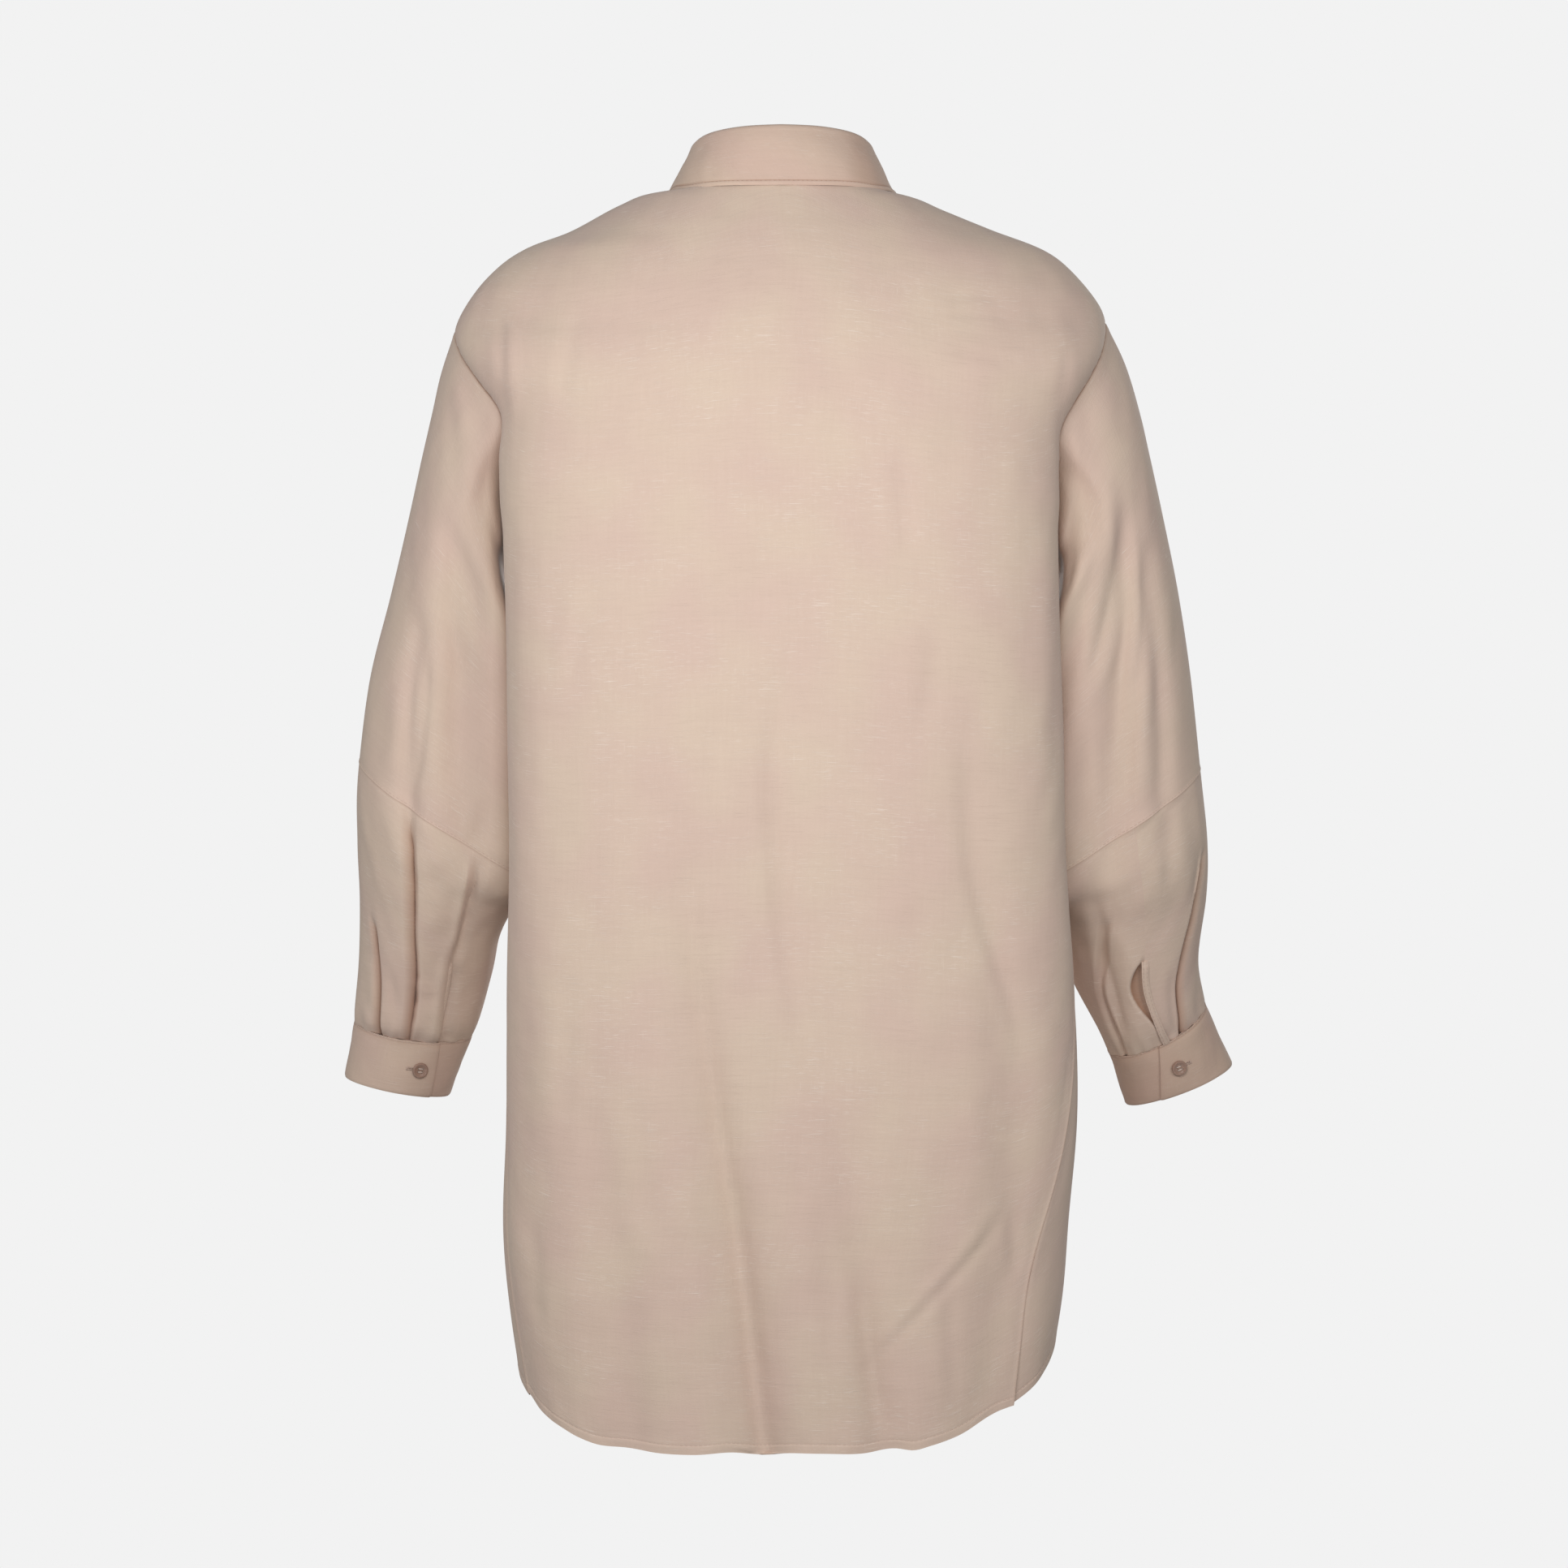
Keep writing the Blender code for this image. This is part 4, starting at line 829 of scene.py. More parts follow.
def body_piece(name, half, levels, points, lift=0):
    """The back or a front with its relief. A front's button stand stays free of creases."""
    across, down = grid_lengths(points)
    ends = nearer_end(across) if half == "back" else across
    level = np.broadcast_to(levels[:, None], across.shape)
    if half == "front":
        points = soften_chest(points.copy(), ends)
        across, down = grid_lengths(points)
    quiet = ease(ends / PLAIN_SEAM) * ease((3 - level) / PLAIN_NECK) * inside_outline(points)
    if half == "front":
        quiet = quiet * ease((across[:, -1:] - across - PLAIN_STAND) / STAND_FADE)
    lift = lift + quiet * (softness("body", points) - crease_depth(half, points)) + hem_lift(down, across)
    lift = lift + seam_lift(level, ends, down, half)
    points = points.copy()
    if half == "back":
        points[..., 2] += read(RIPPLE, "rise", points[..., 0]) * beside(down, RIPPLE_REACH)
    lift = lift + FULL_SIDE * beside(np.abs(points[..., 0]) - OUTLINE, reach=0.012) * ease(ends / 0.02)
    # Painted shade: a dark line along the armhole seam, and a fainter one along the side and shoulder seams.
    painted_shade = beside(ends, SEAM_SHADE) * np.where((level > 1) & (level < 2), 1, 0.2)
    uv = np.stack([across - across[:, -1:] / 2, down], -1)
    shell(name, points, uv, lift, painted_shade)


print("the hem ripples between", RIPPLE["rise"].min(), "and", RIPPLE["rise"].max())

# %% [markdown]
# ## Back
# One piece from the neck to the curved hem, with no yoke seam. Its grid follows the tube from side to side,
# so that a row of the grid is a thread of the cloth, as it is on a piece cut flat.

# %% The back
BODY_LENGTH = 0.64  # from hem to underarm, then down the armhole and from shoulder tip to neck
ARMHOLE_LENGTH = 0.15
SHOULDER_LENGTH = 0.19
BACK_WIDTH = 0.56
levels = np.concatenate(
    [
        HEM_LINES / BODY_LENGTH,
        np.arange(HEM_LINES[-1] + STEP, BODY_LENGTH, STEP) / BODY_LENGTH,
        1 + np.arange(0, ARMHOLE_LENGTH, STEP) / ARMHOLE_LENGTH,
        2 + spaced(SHOULDER_LENGTH, start=np.array([0.0]))[:-1],
        [3 - FINE[0] / SHOULDER_LENGTH],
    ]
)
part = 2 * spaced(BACK_WIDTH) - 1
points = np.stack([torso("back", level, part * panel_turn("back", level, part >= 0)) for level in levels])
body_piece("back_cloth", "back", levels, points)

# %% [markdown]
# ## Fronts
# The hidden side closes like a woman's shirt, right over left, with a button stand that is folded in and
# sewn down. Interfacing keeps the stand flat, so the creases fade out before it, and its grid lines run
# parallel to the edge, so that the sewing line can be one of them.

# %% The fronts
SIDES = ("left", "right")
LAYER = 0.0012
FRONT_OVERLAP = 0.015
STAND = 0.028
STAND_HEIGHT = 0.0003
OVER_FULL = 0.030  # this near its edge a front is moved by a layer, and comes back over the next stretch
OVER_FADE = 0.022
STRAIGHT = 0.036  # the grid lines this near the front edge run parallel to it
FRONT_ARC = 0.29
FRONT_LINES = np.array([0, 0.5, 1.1, 2.0, 3.2]) / 1000
from_edge = (1 - spaced(FRONT_ARC, end=FRONT_LINES)) * FRONT_ARC


def front_angles(side, level, from_edge):
    """Angles of a front's grid lines, from its side seam to its edge past the centre line."""
    start = panel_turn("front", level, side == "left")
    across = edge("front", side, level)
    straight = 180 + np.degrees((FRONT_OVERLAP - np.minimum(from_edge, STRAIGHT)) / across)
    rest = np.clip((from_edge - STRAIGHT) / (FRONT_ARC - STRAIGHT), 0, 1)
    angles = straight + (start - straight) * rest
    return angles if side == "left" else -angles


for side in SIDES:
    points = np.stack([torso("front", level, front_angles(side, level, from_edge)) for level in levels])
    over = (LAYER if side == "right" else -LAYER) * (1 - ease((from_edge - OVER_FULL) / OVER_FADE))
    stand = doubled(from_edge, STAND, STAND_HEIGHT, early=0.0005, over=0.0008)
    stand = stand - STAND_HEIGHT * beside(from_edge - STAND, reach=0.0008)
    lift = np.broadcast_to(over + stand, points.shape[:2])
    body_piece("front_" + side + "_cloth", "front", levels, points, lift)

# %% [markdown]
# ## Upper sleeves
# The sleeve head is set into a dropped armhole: a thin dark line where both edges turn in, with painted shade
# along it, and hardly any easing. At the elbow the lower edge is felled over the forearm's, as a fine pale
# line. The hanging sleeve rests against the body, so its inner back corner is squarer than the ring that it
# grows from.

# %% The upper sleeves
SLEEVE_LENGTH = 0.32
SLEEVE_ROUND = 0.43
ROUND_LINES = 1.15  # grid lines for each step round the sleeve
HIDDEN = 0.6  # creases of the hidden side are this much of the seen ones
REST_SQUARE = 8  # how square the ring's inner back corner is where the sleeve rests on the body
REST_PRESS = {"left": 0.0085, "right": 0.0110}  # how far it is pressed against the body
REST_END = 0.80  # place on the sleeve where it starts to leave the body, and over how much it does
REST_FADE = 0.65
ELBOW_LAP = 1.0035  # the upper sleeve ends this far down, just over the forearm's edge


def sleeve_quiet(points, angle, weld):
    """Creases fade towards the sleeve's outline and are softer in front."""
    return inside_outline(points, weld) * np.where(np.sin(np.radians(angle)) > 0, 1, HIDDEN)


def sleeve_uv(across, down):
    """A UV map in metres, whose rows run level round the sleeve."""
    return np.stack([across, down.mean(axis=1, keepdims=True) + 0 * across], -1)


def towards_body(side, s, angle):
    """How far the sleeve's inner side swells out to rest against the body."""
    s, angle = np.broadcast_arrays(np.asarray(s, float), angle)
    centre, points = sleeve_ring(side, s, angle)
    across, along = rounded(angle, REST_SQUARE)
    corner = np.hypot(across, along) - 1
    turned = angle % 360
    inner_back = (turned > 90) & (turned < 180)
    hang = ease(s / 0.09) * (1 - ease((s - REST_END) / REST_FADE))
    swell = np.linalg.norm(points - centre, axis=-1) * corner * inner_back
    return hang * (swell + REST_PRESS[side] * ease(-np.cos(np.radians(turned))))


for side in SIDES:
    s = spaced(SLEEVE_LENGTH) * ELBOW_LAP
    angles = np.linspace(0, 360, round(SLEEVE_ROUND / STEP * ROUND_LINES) + 1)
    points = np.stack([sleeve(side, value, angles, towards_body(side, value, angles)) for value in s])
    across, down = grid_lengths(points)
    low = down[-1:] - down
    seam = -SEAM_SINK * beside(down, reach=0.0010) + eased(across, down, reach=0.006)
    seam = seam + 0.0003 * beside(down - 0.004, reach=0.003) + 0.0004 * beside(low, reach=0.0012)
    quiet = ease(down / 0.02) * ease(low / 0.008) * sleeve_quiet(points, angles, len(s))
    lift = seam + quiet * (softness("upper_sleeve", points) - crease_depth(side, points))
    # Painted shade: a dark line along the armhole seam.
    painted_shade = beside(down, SEAM_SHADE)
    shell("sleeve_upper_" + side + "_cloth", points, sleeve_uv(across, down), lift, painted_shade, weld=len(s))

# %% [markdown]
# ## Forearms
# Below the elbow seam the cloth is pleated into the cuff. A pleat is a fold laid over its neighbour: the lip
# hangs over a narrow groove, whose warm dark inside is painted shade. Real folds would need cloth simulation
# to lie right, so each pleat is a few grid lines that dip and lean instead. The left slit is closed, with one
# edge under the other. The right one stands open like an almond, and shows the underlap sunk inside it,
# darkened by painted shade.

# %% Tables of pleats and slits
# Pleats of the forearms: where they start, the angle round the sleeve there and at the cuff, and their
# depth at the middle and at the cuff. Angles run from the outer side, 0, over the back, 90, to the inner
# side, 180.
PLEAT = "start from_angle to_angle middle end"
PLEATS = {
    "left": table(
        PLEAT,
        (1.00, 70, 86, 0.007, 0.007),
        (1.55, 38, 56, 0.005, 0.006),
        (1.30, 250, 262, 0.003, 0.005),
        (1.25, 322, 306, 0.003, 0.005),
    ),
    "right": table(
        PLEAT,
        (1.28, 21, 60, 0.006, 0.007),
        (1.40, 112, 134, 0.002, 0.003),
        (1.30, 256, 268, 0.003, 0.005),
        (1.25, 322, 306, 0.003, 0.005),
    ),
}
PLEAT_HALF = 7  # degrees from a pleat's bottom to its lips
PLEAT_STEPS = 8
PLEAT_DEEP = 0.007  # a pleat of this depth has the whole overhang and the whole painted shade
OVERHANG = 4.8  # degrees that such a pleat's lip hangs over its groove
SLIT_LENGTH = 0.34  # of the forearm's length
SLIT_START = 2 - SLIT_LENGTH
SLIT_LAYER = 0.0011
SLIT_ANGLE = {"left": 113, "right": 84}
SLIT_UNDER = 5  # degrees that the lower edge runs on under the upper one
SLIT_OVER = 2  # degrees that the upper edge runs on
SLIT_BAND = 0.003
UNDER_DEPTH = {"left": 0.0030, "right": SLIT_LAYER}
EDGE_LINES = np.array([0, 0.025, 0.06, 0.12, 0.17, 0.21])  # of a strip beside the slit
GAPE = {"left": 0.0, "right": 12}  # degrees that the slit stands open below its top, and for how far
GAPE_LENGTH = 0.24
GAPE_LAP = np.array([-5, -3.5, -1.5, -0.3])  # degrees that the underlap's lines lie under the upper edge
GAPE_FOOT = np.array([0, 0, 0.3, 0.96])  # how far each of those lines follows the gape
GAPE_SUNK = np.array([1, 1, 1, 0.9])
GAPE_DEPTH = 0.0032
GAPE_SHADE = np.array([0.5, 0.5, 0.6, 1.0])  # painted shade of those lines, in the open slit's recess
print("pleats:", {side: len(rows["start"]) for side, rows in PLEATS.items()})

# %% Grid lines of the forearms
FOREARM_STRIP = 15  # degrees
DEGREE = 0.0011  # metres round the sleeve
STRIP_LINES = 1.3  # grid lines for each step in a strip


def pleat_order(side):
    """The pleats in their order round the sleeve from the slit, and how many degrees from it they start."""
    middles = (PLEATS[side]["from_angle"] - SLIT_ANGLE[side]) % 360
    return list(np.argsort(middles)), middles


def pleat_gap(side, k):
    """Number of strips before pleat k, or after the last one for None."""
    order, middles = pleat_order(side)
    at = len(order) if k is None else order.index(k)
    start = 0 if at == 0 else middles[order[at - 1]] + PLEAT_HALF
    end = 360 if k is None else middles[k] - PLEAT_HALF
    return max(2, round((end - start) / FOREARM_STRIP))


def forearm_angles(side, s):
    """The angles of the forearm's grid lines at one ring, from the slit once round, and their depths."""
    slit, pleats = SLIT_ANGLE[side], PLEATS[side]
    here = np.clip((s - pleats["start"]) / (2 - pleats["start"]), 0, 1)
    angle = pleats["from_angle"] + (pleats["to_angle"] - pleats["from_angle"]) * here
    deep = (pleats["middle"] + (pleats["end"] - pleats["middle"]) * here) * ease(0.1 + here * 6)
    middles = (angle - slit) % 360
    lines, depths = [slit], [0.0]
    for k in pleat_order(side)[0]:
        lips = slit + middles[k] - PLEAT_HALF
        count = pleat_gap(side, k)
        lines += list(np.linspace(lines[-1], lips, count + 1)[1:])
        lines += [lips + PLEAT_HALF, lips + 2 * PLEAT_HALF]
        depths += [0.0] * count + [deep[k], 0.0]
    lines += list(np.linspace(lines[-1], slit + 360, pleat_gap(side, None) + 1)[1:])
    depths += [0.0] * (len(lines) - len(depths))
    return np.array(lines), np.array(depths)


def fine_forearm(side, s):
    """Angles, depths and how deep inside a pleat each of the forearm's fine grid lines is."""
    lines, depths = forearm_angles(side, s)
    angles, deep, inside = [], [], []
    for k in range(len(lines) - 1):
        pleat = abs(lines[k + 1] - lines[k] - PLEAT_HALF) < 1e-6
        count = PLEAT_STEPS if pleat else max(2, round(FOREARM_STRIP * DEGREE / STEP * STRIP_LINES))
        t = np.arange(count) / count
        if k == 0:
            t = np.append(EDGE_LINES, t[t > EDGE_LINES[-1]])
        if k == len(lines) - 2:
            t = np.append(t[1 - t > EDGE_LINES[-1]], 1 - EDGE_LINES[:0:-1])
        rise = depths[k + 1] > depths[k]
        here = depths[k] + (depths[k + 1] - depths[k]) * ease(t)
        size = max(depths[k], depths[k + 1]) / PLEAT_DEEP
        lean = OVERHANG * size**3 * np.sin(math.pi * t) if pleat and rise else 0 * t
        angles += list(lines[k] + (lines[k + 1] - lines[k]) * t + lean)
        deep += list(here)
        inside += list(size**2 * here / PLEAT_DEEP if pleat else 0 * t)
    return np.append(angles, lines[-1]), np.append(deep, depths[-1]), np.append(inside, 0)


def slit_shift(side, value, count):
    """How the slit's edges move round the sleeve, in degrees, and off it, for each grid line of a ring."""
    into = value - SLIT_START
    under = np.exp(-((np.arange(count) / 9.0) ** 2))
    over = under[::-1]
    gape = GAPE[side] * math.sin(math.pi * min(1, into / GAPE_LENGTH))
    lip = np.exp(-((np.arange(count - len(GAPE_LAP)) / 7.0) ** 2))
    open_turn = np.append(GAPE_LAP * ease(into / 0.05) + gape * GAPE_FOOT, gape * lip)
    open_off = np.append(-GAPE_DEPTH * GAPE_SUNK * ease(into / 0.04), 0.0002 * lip)
    closed = ease((into - GAPE_LENGTH) / 0.07) if GAPE[side] else 1.0
    turn = (1 - closed) * open_turn - closed * SLIT_UNDER * ease(into / 0.05) * under
    off = (1 - closed) * open_off - closed * UNDER_DEPTH[side] * ease(into / 0.08) * under
    return turn + SLIT_OVER * ease(into / 0.05) * over, off + SLIT_LAYER * ease(into / 0.08) * over


print("grid lines round the elbow:", {side: len(fine_forearm(side, 1.0)[0]) for side in SIDES})

# %% The forearms
FOREARM_LENGTH = 0.165
for side in SIDES:
    s = 1 + spaced(FOREARM_LENGTH)
    weld = int(np.sum(s <= SLIT_START))
    rows, all_angles, painted_shade = [], [], []
    for value in s:
        angles, deep, inside = fine_forearm(side, value)
        lift = -deep
        if value > SLIT_START:
            turn, off = slit_shift(side, value, len(angles))
            angles, lift = angles + turn, lift + off
        rows.append(sleeve(side, value, angles, lift + towards_body(side, value, angles)))
        all_angles.append(angles)
        # painted shade inside each pleat's groove, the more the deeper the pleat
        painted_shade.append(np.sqrt(np.clip(inside, 0, 1)))
        # Painted shade in the open slit's recess, on the underlap's lines.
        if GAPE[side] and value > SLIT_START:
            into = value - SLIT_START
            shade = ease(into / 0.02) * (1 - ease((into - GAPE_LENGTH) / 0.03)) * GAPE_SHADE
            painted_shade[-1][: len(shade)] = shade
    points, angles = np.stack(rows), np.stack(all_angles)
    across, down = grid_lengths(points)
    low, ends = down[-1:] - down, nearer_end(across)
    opened = ease((s[:, None] - SLIT_START) / 0.02)
    band = doubled(ends, SLIT_BAND, height=0.0004) - 0.0003 * beside(ends - SLIT_BAND, reach=0.0005)
    seam = 0.0002 * beside(down, reach=0.0010) - 0.0001 * beside(low, reach=0.0010)
    seam = seam + band * opened * (GAPE[side] > 0)
    gather = 0.0006 * np.sin(angles / 3.1 + 2 * np.sin(angles / 17)) * beside(low, reach=0.018)
    quiet = ease(down / 0.006) * ease(low / 0.006) * sleeve_quiet(points, angles, weld)
    lift = seam + gather + quiet * (softness("forearm", points) - crease_depth(side, points))
    # Painted shade: the pleats' grooves, a line along the cuff seam, and a dark line just below the elbow
    # seam, under the upper sleeve's edge.
    painted_shade = np.stack(painted_shade) * 0.9 + 0.15 * beside(low, reach=0.0008) + 0.3 * beside(down - 0.0009, reach=0.0005)
    shell("sleeve_lower_" + side + "_cloth", points, sleeve_uv(across, down), lift, painted_shade, weld=weld)

# %% [markdown]
# ## Cuffs
# A cuff is an interfaced band, sewn on, turned right side out and pressed, so its edges are rounded and fine
# shallow dents run along it. Its outer end lies on the inner one, where the button is. Interfaced cloth keeps
# its shape, so the cuff needs no folds, and follows straight rings.

# %% The cuffs
CUFF_LENGTH = 0.047
CUFF_ROUND = 0.27
CUFF_END = {"left": (119, 131), "right": (90, 112)}  # the angle of its outer end at the top and bottom edge
CUFF_OVERLAP = 36  # degrees
CUFF_WHOLE = 360 + CUFF_OVERLAP
# Painted shade over each cuff, deeper on the right one, which the light reaches less.
CUFF_SHADE = {"left": 0.13, "right": 0.26}
CUFF_SEW = 0.0013  # the stitches lie this far below the upper edge
CUFF_TOP = np.array([0.1, 0.6, 1.3, 2.2]) / 1000  # grid lines beside its edges, and beside its ends
CUFF_BOTTOM = np.array([0, 0.5, 1.2, 2.2]) / 1000
CUFF_SIDE = np.array([0, 0.002, 0.005, 0.009])
CUFF_PLAIN = 0.004  # its dents come in over this distance from both edges


def cuff_lift(turned):
    """How far a band stands off its ring, by the degrees from its outer end; its ends lie on each other."""
    outer = 1 - ease((turned - CUFF_OVERLAP) / CUFF_OVERLAP)
    inner = 1 - ease((CUFF_WHOLE - CUFF_OVERLAP - turned) / CUFF_OVERLAP)
    return LAYER * (outer - inner)


def cuff_points(side, down, turned):
    """Points of a cuff: down from 0 at its seam to 1, turned in degrees from its outer end."""
    top, bottom = CUFF_END[side]
    end = top + (bottom - top) * down
    return sleeve(side, 2 + down, end - turned, cuff_lift(turned))


for side in SIDES:
    turned = spaced(1.0, CUFF_SIDE, CUFF_SIDE, STEP / CUFF_ROUND * 0.8) * CUFF_WHOLE
    downs = spaced(CUFF_LENGTH, CUFF_TOP, CUFF_BOTTOM)
    points = np.stack([cuff_points(side, down, turned) for down in downs])
    across, down = grid_lengths(points)
    low, sewn = down[-1:] - down, beside(down - CUFF_SEW, reach=0.0005)
    round_off = -0.0005 * (beside(low, reach=0.0008) + beside(across, reach=0.0008)) - 0.0003 * sewn
    lift = round_off + softness("cuff", points) * ease(down / CUFF_PLAIN) * ease(low / CUFF_PLAIN)
    uv = np.stack([across, down + 0.01], -1)
    # painted shade over the cuff, and a darker painted line along its stitch groove
    shell("cuff_" + side + "_cloth", points, uv, lift, CUFF_SHADE[side] + 0.35 * sewn, thick=BAND)

# %% [markdown]
# ## Slit bindings
# A narrow strip of the same cloth is folded round the slit's edge, which keeps it from tearing. It is a strip
# of its own along the upper edge, laid on the sleeve. On the left it is turned inside, so it doesn't show.

# %% The slit bindings
BINDING_WIDTH = 0.0050
BINDING_LIFT = {"left": -0.0012, "right": 0.0005 + SLIT_LAYER}
BINDING_LENGTH = 0.056
BINDING_STEP = 0.002
for side in SIDES:
    top = SLIT_ANGLE[side] + SLIT_OVER
    rows = []
    for part in spaced(BINDING_LENGTH, np.array([BINDING_STEP]), np.array([0.0]), BINDING_STEP):
        value = SLIT_START + SLIT_LENGTH * part
        centre, upper = sleeve_ring(side, value, top)
        wide = math.degrees(BINDING_WIDTH / np.linalg.norm(upper - centre))
        rows.append(sleeve(side, value, top - wide * np.linspace(1, 0, 9), BINDING_LIFT[side]))
    points = np.stack(rows)
    across, down = grid_lengths(points)
    lift = 0.0002 - 0.0004 * beside(nearer_end(across), reach=0.0008) - 0.0012 * (1 - ease(down / 0.006))
    shell("slit_binding_" + side + "_cloth", points, np.stack([down, across], -1), lift, 0 * across)

# %% [markdown]
# ## Collar
# The collar is a stand round the neck and a leaf that turns down over it. The leaf's edge is rolled round its
# interlining and topstitched 3 mm in, which leaves a pale band under a thin dark line: a groove with painted
# shade in it. The whole leaf has a little painted shade too, more on its right side. Leaf and stand are two
# grids, because they are two pieces of cloth, and the leaf starts with a small roll over the stand's top.

# %% Tables of the collar
# The collar round the neck: height of the stand's top, and the lower edge of the turned-down leaf.
COLLAR = table(
    "angle top_z edge_x edge_y edge_z",
    (0, 0.0335, 0.000, 0.0655, -0.0065),
    (30, 0.0325, 0.036, 0.0595, -0.0062),
    (60, 0.0290, 0.062, 0.0400, -0.0050),
    (90, 0.0205, 0.0790, 0.0060, -0.0035),
    (115, 0.0070, 0.0845, -0.0280, -0.0120),
    (140, -0.0120, 0.0800, -0.0650, -0.0440),
    (168, -0.0330, 0.0630, -0.0990, -0.0860),
    (192, -0.0360, 0.0630, -0.0990, -0.0860),
)
STAND_TOP = {"wide": 0.0605, "mid": -0.005, "deep": 0.058}
COLLAR_ASIDE = 0.0015  # the collar sits this far to the left


def neck(angle):
    """Points of the neck seam."""
    half = np.degrees(np.arccos(np.cos(np.radians(angle)))) <= 90
    return np.where(half[..., None], torso("back", 3, angle), torso("front", 3, angle))


def stand_top(angle):
    """Points of the collar stand's upper edge."""
    across, along = rounded(angle, 2)
    x, y = COLLAR_ASIDE + STAND_TOP["wide"] * across, STAND_TOP["mid"] + STAND_TOP["deep"] * along
    return np.stack([x, y, read(COLLAR, "top_z", np.abs(angle))], -1)


def leaf_edge(angle):
    """Points of the collar leaf's lower edge."""
    turn = np.abs(angle)
    x = COLLAR_ASIDE + np.sign(angle) * read(COLLAR, "edge_x", turn)
    return np.stack([x, read(COLLAR, "edge_y", turn), read(COLLAR, "edge_z", turn)], -1)


def outward(angle):
    """Level directions out from the neck."""
    return np.stack([np.sin(np.radians(angle)), np.cos(np.radians(angle)), 0 * angle], -1)


centre_back = np.array([0.0])
print("stand at the back, height:", (stand_top(centre_back) - neck(centre_back))[0, 2].round(4))

# %% The collar stand
NECK_ARC = 0.40
NECK_LINES = np.array([0, 0.6, 1.4, 2.6]) / 1000
STAND_ROWS = 14


def collar_angles(overlap):
    """Angles round the neck, past the centre front at both ends by a length, and how far each is lifted."""
    right = 180 + math.degrees(overlap / edge("front", "right", 3.0))
    left = 180 + math.degrees(overlap / edge("front", "left", 3.0))
    angles = -right + (left + right) * spaced(NECK_ARC, NECK_LINES, NECK_LINES, STEP * 0.8)
    lift = LAYER * (ease((-angles - 145) / 20) - ease((angles - 145) / 20))
    return angles, lift


angles, lift = collar_angles(FRONT_OVERLAP)
low, high, aside = neck(angles), stand_top(angles), outward(angles) * lift[:, None]
points = np.stack([low + (high - low) * part + aside for part in np.linspace(0.005, 1, STAND_ROWS)])
across, down = grid_lengths(points)
shell("collar_stand_cloth", points, np.stack([across, down], -1), 0 * across, 0 * across, thick=BAND)

# %% The collar leaf
LEAF_ROLL = table("row out up", (0, 0, 0), (1, 0.0008, 0.0020), (2, 0.0030, 0.0030), (3, 0.0050, 0.0014))
LEAF_BULGE = 0.0015
LEAF_LENGTH = 0.047
LEAF_LINES = np.array([0, 0.6, 1.3, 2.0, 2.6, 3.0, 3.5, 4.2]) / 1000  # beside its lower edge
LEAF_STEP = 0.0022
EDGE_SEW = 0.003
LEAF_PLAIN = 0.006  # its waves come in over this distance from its edges, and further on below its roll
LEAF_FADE = 0.012
angles, lift = collar_angles(0.0)
start = stand_top(angles) + outward(angles) * lift[:, None]
up = np.array([0, 0, 1])
at = np.linspace(0, 3, 9)
rows = [
    start + outward(angles) * step + up * rise
    for step, rise in zip(read(LEAF_ROLL, "out", at), read(LEAF_ROLL, "up", at))
]
roll, low = rows[-1], leaf_edge(angles)
low = low - up * 0.0026 * beside(np.abs(angles)[:, None] - 78, reach=24) - outward(angles) * 0.0006
for part in spaced(LEAF_LENGTH, np.array([0.0, 0.002]), LEAF_LINES, LEAF_STEP)[1:]:
    rows.append(roll + (low - roll) * part + outward(angles) * LEAF_BULGE * math.sin(math.pi * part))
points = np.stack(rows)
across, down = grid_lengths(points)
edges = np.minimum(down[-1:] - down, nearer_end(across))
lift = doubled(edges, EDGE_SEW, height=0.00035) - 0.0004 * beside(edges - EDGE_SEW, reach=0.0005)
lift = lift - 0.0006 * beside(edges, reach=0.0006)
lift = lift + softness("leaf", points) * ease(edges / LEAF_PLAIN) * ease((down - LEAF_PLAIN) / LEAF_FADE)
# Painted shade: a dark line in the topstitch groove, a little over the whole leaf, and more on its right
# flank, which the light reaches less.
right_flank_shade = ease((-angles - 35) / 20) * ease((edges - EDGE_SEW) / 0.001)
painted_shade = 0.75 * beside(edges - EDGE_SEW, reach=0.0004) + 0.15 + 0.20 * right_flank_shade
shell("collar_leaf_cloth", points, np.stack([across, down], -1), lift, painted_shade, thick=BAND)

# %% [markdown]
# ## Stitches
# Sewing thread is a shade paler than the cloth. A bump map could fake a seam, but stitches catch the light,
# so each is a short rounded rod that dips at both ends. It is laid along a grid line of the finished cloth,
# and follows every pucker.

# %% Make stitches
STITCH = 0.0025
STITCH_GAP = 0.0008
THREAD = 0.00017
ROD = ((-0.5, 0.35, -0.7), (-0.36, 0.9, 0.0), (0.36, 0.9, 0.0), (0.5, 0.35, -0.7))  # place, width and drop


def thread_mesh(name, middles, alongs, outs, lengths, radius):
    """Rounded rods as one object, each with its middle, direction, outward side and length."""
    across = np.cross(outs, alongs)
    points = []
    for x, wide, drop in ROD:
        for turn in np.arange(6) * math.tau / 6:
            points.append(
                middles
                + alongs * (x * lengths)[:, None]
                + across * (radius * wide * math.cos(turn))
                + outs * (radius * (wide * math.sin(turn) + drop))
            )
    points = np.stack(points, 1)
    faces = [(5, 4, 3, 2, 1, 0), (18, 19, 20, 21, 22, 23)]
    for r in range(3):
        faces += [(6 * r + k, 6 * r + (k + 1) % 6, 6 * r + 6 + (k + 1) % 6, 6 * r + 6 + k) for k in range(6)]
    every = [tuple(i + 24 * n for i in face) for n in range(len(points)) for face in faces]
    mesh = bpy.data.meshes.new(name)
    mesh.from_pydata(points.reshape(-1, 3).tolist(), [], every)
    mesh.shade_smooth()
    return add_object(name, mesh)


